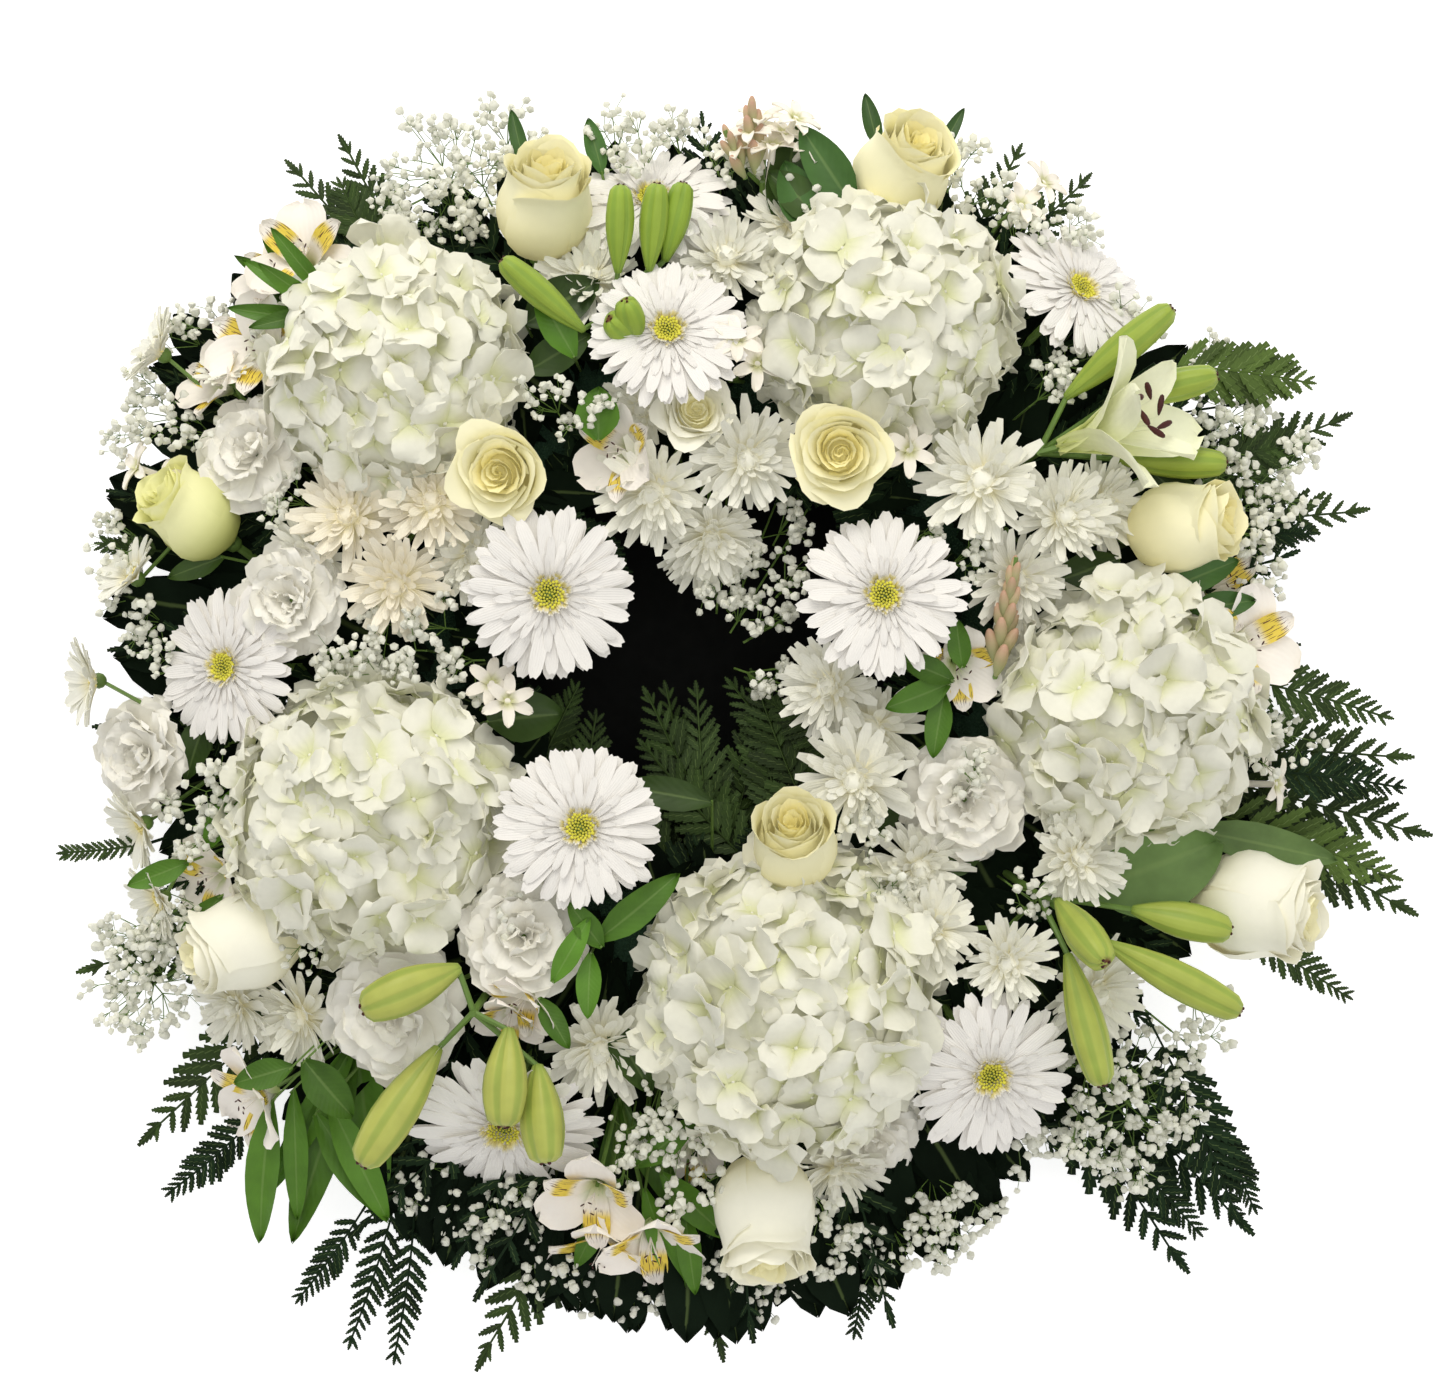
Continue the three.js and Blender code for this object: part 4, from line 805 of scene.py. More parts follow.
def gerbera_head(bunch, place, radius):
    """Two rows of strap petals, two of short ones, a ring of threads and a beaded eye. Slots: petal, eye, ring."""
    rng, r = bunch.rng, radius
    rows = [
        (26, 0.9, 0.185, (3, -8), 0.0, 7), (25, 0.84, 0.175, (7, -4), 0.9, 7), (22, 0.54, 0.1, (12, 0), 1.6, 5),
        (24, 0.36, 0.056, (18, 4), 2.1, 3),
    ]
    for row, (count, reach, width, pitch, height, detail) in enumerate(rows):
        kinds = [
            petal("gerbera petal", r * reach, r * width, tapering(0.34, 0.7, 0.36, 0.5), (pitch[0] + 6 * k, pitch[1] - 10 * k),
                  rows=detail, cols=2, cup=0.16 - 0.34 * k, notch=0.02, thick=0.25)
            for k in range(2)
        ]
        for i in range(count):
            azimuth = 360 * (i + 0.5 * row) / count + rng.uniform(-3.5, 3.5)
            turn = turned(azimuth, rng.uniform(-4, 4), r * 0.1, height + rng.uniform(-0.4, 0.4), rng.uniform(-8, 8))
            bunch.add(rng.choice(kinds), place @ turn @ Matrix.Scale(rng.uniform(0.9, 1.03), 4))
        for kind in kinds:
            bpy.data.meshes.remove(kind)
    thread = petal("gerbera thread", r * 0.12, r * 0.03, tapering(0.5, 0.6, 0.6), (66, 36), rows=2, cols=1, slot=2)
    for i in range(56):
        turn = turned(i * 137.5, rng.uniform(-10, 10), r * (0.13 + 0.05 * (i % 3) / 2), 2.6)
        bunch.add(thread, place @ turn)
    grain = bead("gerbera grain", 1.1, 1)
    for i in range(64):
        t = (i + 0.5) / 64
        at = Vector((0, r * 0.16 * math.sqrt(t), 3.4 + 1.2 * t * t)) * MM
        turn = Matrix.Rotation(i * GOLDEN_ANGLE, 4, "Z") @ Matrix.Translation(at) @ Matrix.Scale(0.75 + 0.4 * t, 4)
        bunch.add(grain, place @ turn, 0.4 + 0.5 * t)
    for mesh in (thread, grain):
        bpy.data.meshes.remove(mesh)


def rose_head(bunch, place, radius, height, form, spin=0, slots=(0, 1, 2)):
    """Wrapped petals from a tight heart to the outermost, and green sepals below. Slots: petal, stem, heart."""
    rng = bunch.rng
    # Each ring: petals, its share of the radius and of the height, span, lip as a share of the radius,
    # how far it draws in, and tuck.
    rings = {
        "bud": [
            (2, 0.11, 0.95, 330, 0.06, 0.1, 0.2), (3, 0.23, 0.98, 250, 0.07, 0.18, 0.16), (3, 0.37, 1.0, 215, 0.08, 0.22, 0.13),
            (3, 0.53, 1.0, 200, 0.1, 0.26, 0.11), (3, 0.69, 1.0, 190, 0.12, 0.29, 0.09), (3, 0.85, 0.98, 185, 0.15, 0.31, 0.07),
            (4, 1.0, 0.94, 165, 0.2, 0.3, 0.05),
        ],
        "open": [
            (2, 0.1, 0.95, 330, 0.05, 0.2, 0.3), (2, 0.2, 0.98, 270, 0.07, 0.14, 0.24), (3, 0.31, 1.0, 215, 0.09, 0.08, 0.2),
            (3, 0.45, 0.99, 190, 0.12, 0.04, 0.16), (4, 0.6, 0.96, 150, 0.16, 0.0, 0.12), (5, 0.76, 0.9, 128, 0.22, 0.0, 0.1),
            (5, 0.92, 0.8, 118, 0.3, -0.02, 0.08),
        ],
    }[form]
    base = place @ Matrix.Translation(Vector((0, 0, -0.5 * height)) * MM)
    angle = spin
    for count, share, tall, span, lip, shut, tuck in rings:
        for _ in range(count):
            wall = wrapped_petal(
                "rose petal", radius * share, height * tall * rng.uniform(0.96, 1.02), span, lip=lip / share * rng.uniform(0.7, 1.3),
                shut=shut * rng.uniform(0.85, 1.15), tuck=tuck, base=0.8, point=0.35, drop=0.14 if share > 0.8 else 0.2,
                belly=0.5 if form == "bud" else 0.6, phase=rng.uniform(0, 6), cols=9 if share > 0.5 else 7,
                slot=slots[2] if share < 0.5 else slots[0],
            )
            off = Matrix.Translation(Vector((rng.uniform(-1, 1), rng.uniform(-1, 1), 0)) * 0.05 * radius * MM)
            bunch.add(wall, base @ off @ Matrix.Rotation(math.radians(angle), 4, "Z"))
            bpy.data.meshes.remove(wall)
            angle += 360 / count + rng.uniform(-16, 16)
        angle += 47
    core = bead("heart", 1.0, slots[2], 3)
    inside = Matrix.Diagonal((radius * 0.6, radius * 0.6, height * 0.3, 1))
    bunch.add(core, base @ Matrix.Translation((0, 0, 0.42 * height * MM)) @ inside, 0.0)
    sepal = petal("sepal", 24, 8, tapering(0.5, 0.25, 0.05, 1.0), (34, 74), rows=6, cols=2, slot=slots[1])
    for i in range(5):
        bunch.add(sepal, base @ turned(72 * i, 0, 3, 0))
    bunch.add(shape(("hip", slots[1]), lambda: bead("hip", 6, slots[1], 2)), base)
    for mesh in (core, sepal):
        bpy.data.meshes.remove(mesh)


def hydrangea_head(bunch, place, radius, florets):
    """A round, slightly lumpy head of four-petalled florets over a dull core. Slots: petal, core."""
    rng = bunch.rng
    kinds = [shape(("floret", k), lambda k=k: floret(k)) for k in range(5)]
    core = shape("hydrangea core", lambda: bead("core", 10, 1, 3, 0.04, random.Random(3)))
    bunch.add(core, place @ Matrix.Scale(radius * 0.08, 4), 0.5)
    lumps = [(rng.uniform(2, 4), rng.uniform(0, 6)) for _ in range(2)]
    for i in range(florets):
        z = 1 - (i + 0.5) / florets * 1.5
        flat = math.sqrt(max(0.0, 1 - z * z))
        azimuth = i * GOLDEN_ANGLE
        out = Vector((flat * math.cos(azimuth), flat * math.sin(azimuth), z))
        lump = sum(math.sin(rate * azimuth % math.tau + phase) for rate, phase in lumps)
        at = out * radius * MM * (rng.uniform(0.86, 0.99) + 0.02 * lump * flat)
        at.z *= 0.86 if z > 0 else 0.6
        lean = out + Vector((rng.uniform(-1, 1), rng.uniform(-1, 1), rng.uniform(-0.6, 1))) * 0.5
        turn = UP.rotation_difference(lean).to_matrix().to_4x4() @ Matrix.Rotation(rng.uniform(0, 6.3), 4, "Z")
        bunch.add(rng.choice(kinds), place @ Matrix.Translation(at) @ turn @ Matrix.Scale(rng.uniform(0.78, 1.18), 4))


def floret(k):
    """A hydrangea floret: four broad sepals, two over two, round a bead."""
    radius = bpy.context.scene.wreath_sizes.floret_radius / MM
    bunch = Bunch(f"floret {k}")
    rng = bunch.rng
    pitch = ((14, -10), (32, 0), (4, -24), (48, 22), (24, -34))[k]
    for i in range(4):
        sepal = petal("sepal", radius, radius * 1.18, tapering(0.35, 0.58, 0.36), (pitch[0], pitch[1] + rng.uniform(-14, 14)),
                      rows=4, cols=3, cup=0.16 - 0.1 * k, ruffle=0.28, waves=1.0, frill=0.05, crimps=2, phase=rng.uniform(0, 6))
        bunch.add(sepal, turned(90 * i + rng.uniform(-8, 8), (-6, 6)[i % 2], 0.6, 0.7 * (i % 2)))
        bpy.data.meshes.remove(sepal)
    centre = bead("eye", 1.5, 0)
    bunch.add(centre, Matrix.Identity(4))
    bpy.data.meshes.remove(centre)
    mesh = bpy.data.meshes.new("floret")
    bunch.bm.to_mesh(mesh)
    bunch.bm.free()
    return mesh


def mum_head(bunch, place, radius):
    """Whorls of narrow petals that stand steeper towards the middle. Slot: petal."""
    rng, r = bunch.rng, radius * 1.14
    shade = rng.uniform(0.0, 0.6)
    core = shape("mum core", lambda: bead("core", 10, 0, 2, 0.12, random.Random(5)))
    bunch.add(core, place @ Matrix.Translation(Vector((0, 0, 0.12 * r)) * MM) @ Matrix.Scale(0.022 * r, 4), 0.5)
    whorls = [(22, 1.0, 2, 0.19), (21, 0.94, 13, 0.185), (19, 0.83, 26, 0.17), (16, 0.66, 40, 0.155), (12, 0.49, 54, 0.14),
              (8, 0.33, 70, 0.11)]
    for row, (count, reach, pitch, width) in enumerate(whorls):
        strap = petal("mum petal", r * reach, r * width, tapering(0.4, 0.72, 0.5), (pitch - 8, pitch + 20),
                      rows=3, cols=1, thick=0.3)
        for i in range(count):
            azimuth = 360 * (i + 0.5 * row) / count + rng.uniform(-9, 9)
            turn = turned(azimuth, rng.uniform(-12, 12), 1.6, 0.8 * row, rng.uniform(-30, 30))
            bunch.add(strap, place @ turn @ Matrix.Scale(rng.uniform(0.78, 1.1), 4), shade + rng.uniform(0, 0.4))
        bpy.data.meshes.remove(strap)


def daisy_head(bunch, place, radius):
    """One and a half rows of petals round a yellow eye, over a green cup. Slots: petal, eye, stem."""
    rng, r = bunch.rng, radius
    strap = petal("daisy petal", r * 0.86, r * 0.26, tapering(0.4, 0.6, 0.3), (34, 14), rows=5, cols=2, cup=0.3, slot=0)
    for i in range(30):
        turn = turned(360 * i / 30 + rng.uniform(-5, 5), rng.uniform(-8, 10), r * 0.12, 0.4 * (i % 2), rng.uniform(-12, 12))
        bunch.add(strap, place @ turn @ Matrix.Scale(rng.uniform(0.86, 1.05), 4))
    grain = bead("daisy grain", 1.1, 1)
    for i in range(30):
        t = (i + 0.5) / 30
        at = Vector((0, r * 0.24 * math.sqrt(t), 4 - 2.0 * t)) * MM
        bunch.add(grain, place @ Matrix.Rotation(i * GOLDEN_ANGLE, 4, "Z") @ Matrix.Translation(at))
    cup = shape(("hip", 2), lambda: bead("cup", 5, 2, 2))
    bunch.add(cup, place @ Matrix.Translation(Vector((0, 0, -1.5)) * MM))
    for mesh in (strap, grain):
        bpy.data.meshes.remove(mesh)


def ruffled_head(bunch, place, radius):
    """A full, crimped flower of broad waved petals. Slots: petal, stem."""
    rng, r = bunch.rng, radius
    whorls = [(6, 1.0, 1.15, (26, -16), -0.5), (6, 0.92, 1.1, (42, 2), -0.46), (5, 0.78, 0.98, (58, 26), -0.42),
              (4, 0.6, 0.78, (70, 48), -0.38), (3, 0.42, 0.6, (82, 74), -0.34)]
    for row, (count, reach, width, pitch, sink) in enumerate(whorls):
        for i in range(count):
            crimped = petal("ruffle", r * reach, r * width, tapering(0.3, 0.7, 0.5), (pitch[0], pitch[1] + rng.uniform(-16, 16)),
                            rows=6, cols=7, cup=0.16, ruffle=0.24, waves=1.2, frill=0.07, crimps=rng.uniform(2.0, 3.2),
                            phase=rng.uniform(0, 6), notch=0.04 * rng.random(), thick=0.25)
            turn = turned(360 * (i + 0.5 * row) / count + rng.uniform(-12, 12), rng.uniform(-8, 8), 1.5, r * sink)
            bunch.add(crimped, place @ turn)
            bpy.data.meshes.remove(crimped)
    bunch.add(shape(("hip", 1), lambda: bead("hip", 6, 1, 2)), place @ Matrix.Translation(Vector((0, 0, -0.56 * r)) * MM))


def trumpet_head(bunch, place, radius, slots=(0, 1), reach=None, broad=1.0, narrow=0.56, flare=(66, -4)):
    """Six tepals that open from a narrow throat, three broad and three narrow. Slots: broad, narrow."""
    rng, r = bunch.rng, radius
    long = reach or r * 1.5
    for i in range(6):
        wide = i % 2 == 0
        tepal = petal("tepal", long * (1.0 if wide else 0.98), r * (broad if wide else narrow),
                      tapering(0.22, 0.68 if wide else 0.6, 0.12), (flare[0], flare[1] + (0 if wide else 16)),
                      rows=8, cols=4, cup=0.3, ruffle=0.08, phase=rng.uniform(0, 6), slot=slots[0] if wide else slots[1])
        bunch.add(tepal, place @ turned(60 * i + rng.uniform(-7, 7), rng.uniform(-7, 7), 1.2, -0.55 * long))
        bpy.data.meshes.remove(tepal)


def stamens(bunch, place, reach, sides, thread_slot, anther_slot, count=6, spread=20, size=3.0):
    """Threads with anthers at their ends."""
    anther = spindle("anther", size * 0.33, size * 2.2, anther_slot, rib=0.0, around=8, along=6)
    for i in range(count):
        lean = place @ Matrix.Rotation(2 * math.pi * i / count, 4, "Z") @ Matrix.Rotation(math.radians(spread), 4, "X")
        tip = lean @ (Vector((0, 0, reach)) * MM)
        bunch.stem(rod(sides, thread_slot), [lean @ Vector((0, 0, 0)), tip], 0.4)
        bunch.add(anther, Matrix.Translation(tip) @ (lean @ Matrix.Rotation(1.2, 4, "Y")).to_3x3().to_4x4())
    bpy.data.meshes.remove(anther)


def star_head(bunch, place, radius=14):
    """A tuberose floret: six waxy lobes on a straight tube. Slots: floret, bud."""
    lobe = shape("star lobe", lambda: petal("lobe", 14, 7, tapering(0.45, 0.45, 0.1), (30, -20), rows=5, cols=2, cup=0.4, thick=0.6))
    for i in range(6):
        turn = turned(60 * i + bunch.rng.uniform(-8, 8), bunch.rng.uniform(-12, 12), 1.6, 0.5 * (i % 2))
        bunch.add(lobe, place @ turn @ Matrix.Scale(radius / 14, 4))
    bunch.stem(rod(8, 0), [place @ (Vector((0, 0, -24)) * MM), place @ Vector((0, 0, 0.001))], 2.2)


# ---------------------------------------------------------------- foliage


def add_leaf(bunch, at, azimuth, reach, width, pitch, slot=0, roll=0.0, base=0.16):
    """A leaf with a midrib, laid from a point towards an azimuth."""
    rng = bunch.rng
    blade = petal("leaf", reach, width, tapering(base, 0.42, 0.02, 0.8), pitch, rows=10, cols=4, cup=0.3,
                  ruffle=0.08, waves=1.5, phase=rng.uniform(0, 6), thick=0.4, slot=slot)
    turn = Matrix.Rotation(math.radians(azimuth - 90), 4, "Z") @ Matrix.Rotation(math.radians(roll), 4, "Y")
    bunch.add(blade, Matrix.Translation(Vector(at) * MM) @ turn)
    bpy.data.meshes.remove(blade)


def add_frond(bunch, at, azimuth, reach, width, slope=6.0, droop=16.0, pairs=11, teeth=6, slot=0, roll=0.0, bare=0.14):
    """A leatherleaf frond: lobed leaflets in pairs along a bending stalk."""
    rng = bunch.rng
    leaflet = shape(("pinna", teeth, slot), lambda: pinna("pinna", teeth, slot))
    frame = Matrix.Translation(Vector(at) * MM) @ Matrix.Rotation(math.radians(azimuth), 4, "Z") @ Matrix.Rotation(math.radians(roll), 4, "X")

    def along(t):
        bend = math.radians(slope) * t - math.radians(droop) * t * t * 0.5
        return Vector((reach * t, 0.02 * reach * math.sin(3 * t), reach * bend)) * MM

    steps = [frame @ along(i / 6) for i in range(7)]
    bunch.stem(rod(5, slot), steps, 0.8)
    for i in range(pairs):
        t = bare + (1 - bare) * ((i + 0.2) / pairs) ** 0.86
        full = math.sin(math.pi * (0.3 + 0.66 * (t - bare) / (1 - bare)))
        for side in (-1, 1):
            size = max(0.56 * width * full, 9.0) * rng.uniform(0.9, 1.06)
            aim = side * math.radians(52 - 16 * t + rng.uniform(-5, 5)) - math.pi / 2
            turn = Matrix.Rotation(aim, 4, "Z") @ Matrix.Rotation(math.radians(rng.uniform(-12, 10)), 4, "X")
            spin = Matrix.Rotation(math.radians(rng.uniform(-14, 14)), 4, "Y")
            bunch.add(leaflet, frame @ Matrix.Translation(along(min(1.0, t + 0.006 * side))) @ turn @ spin @ Matrix.Scale(size, 4))
    bunch.add(leaflet, frame @ Matrix.Translation(along(0.95)) @ Matrix.Rotation(-math.pi / 2, 4, "Z") @ Matrix.Scale(max(0.1 * reach, 9), 4))


def add_sprig(bunch, at, lean, reach, twigs, slots=(0, 1)):
    """Baby's breath: a thin stem that forks into twigs with a blossom at each end. Slots: blossom, stem."""
    rng = bunch.rng
    size = bpy.context.scene.wreath_sizes.blossom_radius / MM
    blossoms = [
        shape(("blossom", k), lambda k=k: bead("blossom", size, slots[0], 2 if k < 1 else 1, 0.24, random.Random(k)))
        for k in range(7)
    ]
    thread = rod(3, slots[1])
    root = Vector(at) * MM
    fork = root + lean * reach * 0.2 * MM
    bunch.stem(thread, [root, fork], 0.6)
    for _ in range(twigs):
        aim = (lean + Vector((rng.uniform(-1, 1), rng.uniform(-1, 1), rng.uniform(-0.3, 0.9))) * 0.95).normalized()
        end = fork + aim * reach * rng.uniform(0.25, 0.62) * MM
        bunch.stem(thread, [fork, end], 0.4)
        for _ in range(rng.randint(4, 7)):
            aim2 = (aim + Vector((rng.uniform(-1, 1), rng.uniform(-1, 1), rng.uniform(-0.4, 0.8))) * 1.1).normalized()
            tip = end + aim2 * rng.uniform(4, 14) * MM
            bunch.stem(thread, [end, tip], 0.24)
            turn = Euler((rng.uniform(0, 6), rng.uniform(0, 6), 0)).to_matrix().to_4x4()
            bunch.add(rng.choice(blossoms), Matrix.Translation(tip) @ turn @ Matrix.Scale(rng.uniform(0.6, 1.1), 4))


# ---------------------------------------------------------------- operators


class WREATH_OT_base(bpy.types.Operator):
    """Makes the back board, the ring tray and the foam ring"""

    bl_idname = "wreath.base"
    bl_label = "Board, Tray and Foam"

    def execute(self, context):
        sizes, look = context.scene.wreath_sizes, finishes()
        self.board(sizes, look.lining)
        inner, outer = sizes.foam_radius - sizes.foam_width / 2, sizes.foam_radius + sizes.foam_width / 2
        low = sizes.board_thickness + 0.3 * MM
        top = low + sizes.tray_height
        wall, floor, gap = 2.5 * MM, 2 * MM, 0.3 * MM
        tray = [
            (inner - gap - wall, low), (outer + gap + wall, low), (outer + gap + wall, top - 3 * MM),
            (outer + gap + wall + 1.2 * MM, top - 2.4 * MM), (outer + gap + wall + 1.2 * MM, top), (outer + gap, top),
            (outer + gap, low + floor), (inner - gap, low + floor), (inner - gap, top), (inner - gap - wall, top),
        ]
        self.ring("ring_tray", tray, 0.4 * MM, look.tray, "tray_plastic")
        foam_low = low + floor + gap
        foam_top = foam_low + sizes.foam_height
        foam = [
            (inner, foam_low), (outer, foam_low), (outer, foam_top - 8 * MM), (outer - 8 * MM, foam_top),
            (inner + 8 * MM, foam_top), (inner, foam_top - 8 * MM),
        ]
        self.ring("foam_ring", foam, 1.6 * MM, look.foam, "wet_foam")
        return {"FINISHED"}

    def board(self, sizes, film):
        bm = bmesh.new()
        made = bmesh.ops.create_circle(bm, cap_ends=True, radius=sizes.board_radius, segments=128)
        lifted = bmesh.ops.extrude_face_region(bm, geom=bm.faces[:])["geom"]
        top = [v for v in lifted if isinstance(v, bmesh.types.BMVert)]
        bmesh.ops.translate(bm, verts=top, vec=(0, 0, sizes.board_thickness))
        rims = [e for e in bm.edges if abs(e.verts[0].co.z - e.verts[1].co.z) < 1e-6]
        bmesh.ops.bevel(bm, geom=rims, offset=1.2 * MM, segments=2, profile=0.5, affect="EDGES", material=-1)
        set_piece("back_board_film", self.closed(bm, "board"), [film], "back_board", slot="black_lining")

    def ring(self, node_name, profile, edge, material, slot):
        bm = bmesh.new()
        verts = [bm.verts.new((r, 0, z)) for r, z in profile]
        outline = [bm.edges.new((a, b)) for a, b in zip(verts, verts[1:] + verts[:1])]
        bmesh.ops.spin(bm, geom=verts + outline, cent=(0, 0, 0), axis=(0, 0, 1), angle=2 * math.pi, steps=120, use_merge=True)
        bmesh.ops.remove_doubles(bm, verts=bm.verts, dist=1e-6)
        sharp = [e for e in bm.edges if abs(e.verts[0].co.z - e.verts[1].co.z) < 1e-6
                 and abs(e.verts[0].co.xy.length - e.verts[1].co.xy.length) < 1e-6]
        bmesh.ops.recalc_face_normals(bm, faces=bm.faces)
        bmesh.ops.bevel(bm, geom=sharp, offset=edge, segments=2, profile=0.5, affect="EDGES", material=-1)
        set_piece(f"{node_name}_body", self.closed(bm, node_name), [material], node_name, slot=slot)

    def closed(self, bm, name):
        bmesh.ops.recalc_face_normals(bm, faces=bm.faces)
        for face in bm.faces:
            face.smooth = len(face.verts) < 5
        mesh = bpy.data.meshes.new(name)
        bm.to_mesh(mesh)
        bm.free()
        return mesh


class WREATH_OT_hydrangeas(bpy.types.Operator):
    """Makes the round hydrangea heads from their florets"""

    bl_idname = "wreath.hydrangeas"
    bl_label = "Hydrangeas"

    def execute(self, context):
        look = finishes()
        for i, (at, radius) in enumerate(HYDRANGEAS, 1):
            bunch, place = Bunch(f"hydrangea {i}"), spot(at)
            hydrangea_head(bunch, place, radius + 1, round(98 * (radius / 72) ** 2))
            stalk(bunch, place, radius * 0.3, 3.4, 2, at)
            bunch.finish(f"hydrangea_{i}_head", [look.hydrangea, look.hydrangea_core, look.stem], f"hydrangea_{i}", slot="hydrangea_petals")
        return {"FINISHED"}


class WREATH_OT_gerberas(bpy.types.Operator):
    """Makes the gerberas"""

    bl_idname = "wreath.gerberas"
    bl_label = "Gerberas"

    def execute(self, context):
        look = finishes()
        for i, (at, face, radius) in enumerate(GERBERAS, 1):
            bunch, place = Bunch(f"gerbera {i}"), spot(at, *face)
            gerbera_head(bunch, place, radius)
            stalk(bunch, place, 1, 3.0, 3, at)
            bunch.add(shape(("hip", 3), lambda: bead("hip", 7, 3, 2)), place @ Matrix.Translation(Vector((0, 0, -4)) * MM))
            bunch.finish(f"gerbera_{i}_head", [look.gerbera, look.gerbera_eye, look.gerbera_ring, look.stem], f"gerbera_{i}",
                         slot="gerbera_petals")
        return {"FINISHED"}


class WREATH_OT_roses(bpy.types.Operator):
    """Makes the roses and the small rosette"""

    bl_idname = "wreath.roses"
    bl_label = "Roses"

    def execute(self, context):
        sizes, look = context.scene.wreath_sizes, finishes()
        radius, height = sizes.rose_radius / MM, sizes.rose_height / MM
        skins = {"cream": (look.rose, look.rose_heart), "pale": (look.rose_pale, look.rose), "lime": (look.rose_lime, look.rose_lime)}
        for i, (at, face, spin, form, kind, size) in enumerate(ROSES, 1):
            bunch, place = Bunch(f"rose {i}"), spot(at, *face, size=size)
            tall = height if form == "bud" else height * 0.75
            rose_head(bunch, place, radius, tall, form, spin)
            stalk(bunch, place, 0.5 * tall - 3, 3.0, 1, at)
            outer, heart = skins[kind]
            bunch.finish(f"rose_{i}_head", [outer, look.stem, heart], f"rose_{i}", slot="rose_petals")
        bunch = Bunch("rosettes")
        for at, face, size in ROSETTES:
            place = spot(at, *face)
            rose_head(bunch, place, size * 0.9, size * 1.6, "open", 30)
            stalk(bunch, place, size * 0.8, 2.0, 1, at)
        bunch.finish("small_rosette", [look.rose_pale, look.stem, look.rose], slot="rose_petals")
        return {"FINISHED"}


class WREATH_OT_lilies(bpy.types.Operator):
    """Makes the lily stems with their buds and the open lily"""

    bl_idname = "wreath.lilies"
    bl_label = "Lilies"

    def execute(self, context):
        look, scale = finishes(), context.scene.wreath_sizes.bud_radius / MM / 12.5
        for i, (fork, azimuth, foot, radius, buds, opened) in enumerate(LILIES, 1):
            bunch, top = Bunch(f"lily {i}"), Vector(fork) * MM
            bunch.stem(rod(8, 1), [foot_of(fork, azimuth, foot), top], 2.6)
            speck = bead("speck", 0.1 * radius, 3)
            for at, face, reach in buds:
                place = spot(at, *face, spin=bunch.rng.uniform(0, 360)) @ Matrix.Translation(Vector((0, 0, -0.5 * reach)) * MM)
                bud = spindle("bud", radius * scale, reach, blunt=0.6)
                bunch.add(bud, place, min(1.0, max(0.0, (radius - 8) / 5)) + bunch.rng.uniform(-0.1, 0.1))
                bpy.data.meshes.remove(bud)
                for k in range(3):
                    tip = Matrix.Rotation(k * math.tau / 3 + 0.3, 4, "Z") @ Matrix.Translation(Vector((0, radius * 0.24, reach * 0.992)) * MM)
                    bunch.add(speck, place @ tip)
                bunch.stem(rod(6, 1), [top, place @ (Vector((0, 0, 2)) * MM)], 1.9)
            bpy.data.meshes.remove(speck)
            if opened:
                at, face = opened
                place = spot(at, *face, spin=30)
                trumpet_head(bunch, place, 34, (2, 2), 86, 1.0, 0.8, (84, 22))
                heart = place @ Matrix.Translation(Vector((0, 0, -30)) * MM)
                stamens(bunch, heart, 46, 5, 2, 3, spread=13, size=6)
                bunch.stem(rod(6, 1), [top, place @ (Vector((0, 0, -46)) * MM)], 2.4)
            bunch.finish(f"lily_stem_{i}_buds", [look.bud, look.stem, look.lily_tepal, look.anther], f"lily_stem_{i}", slot="lily_green")
        return {"FINISHED"}


def spray_stems(bunch, fork, azimuth, foot, heads, back, slot, radius=2.2, branch=1.5):
    """The main stem of a spray and a branch to each head."""
    top = Vector(fork) * MM
    bunch.stem(rod(6, slot), [foot_of(fork, azimuth, foot), top], radius)
    low = top.lerp(Vector((top.x, top.y, FOAM_TOP * MM)), 0.15)
    for place in heads:
        bunch.stem(rod(5, slot), [low, place @ (Vector((0, 0, -back)) * MM)], branch)


class WREATH_OT_chrysanthemums(bpy.types.Operator):
    """Makes the chrysanthemum sprays and the daisies"""

    bl_idname = "wreath.chrysanthemums"
    bl_label = "Chrysanthemums and Daisies"

    def execute(self, context):
        look = finishes()
        for i, (fork, heads) in enumerate(MUM_SPRAYS, 1):
            bunch = Bunch(f"mum {i}")
            places = [spot(at, *face) for at, face, _ in heads]
            for place, (_, _, radius) in zip(places, heads):
                mum_head(bunch, place, radius)
            spray_stems(bunch, fork, None, None, places, 2, 1)
            bunch.finish(f"mum_spray_{i}_heads", [look.cream_mum if i == 1 else look.mum, look.stem], f"mum_spray_{i}", slot="mum_petals")
        for i, (fork, azimuth, heads) in enumerate(DAISY_SPRAYS, 1):
            bunch = Bunch(f"daisy {i}")
            places = [spot(at, *face) for at, face, _ in heads]
            for place, (_, _, radius) in zip(places, heads):
                daisy_head(bunch, place, radius)
            spray_stems(bunch, fork, azimuth, None, places, 3, 2)
            bunch.finish(f"daisy_spray_{i}_heads", [look.mum, look.gerbera_ring, look.stem], f"daisy_spray_{i}", slot="mum_petals")
        bunch = Bunch("more mums")
        for at, face, radius in MORE_MUMS:
            place = spot(at, *face)
            mum_head(bunch, place, radius)
            stalk(bunch, place, 2, 1.6, 1, at)
        bunch.finish("mums_between", [look.mum, look.stem], slot="mum_petals")
        return {"FINISHED"}


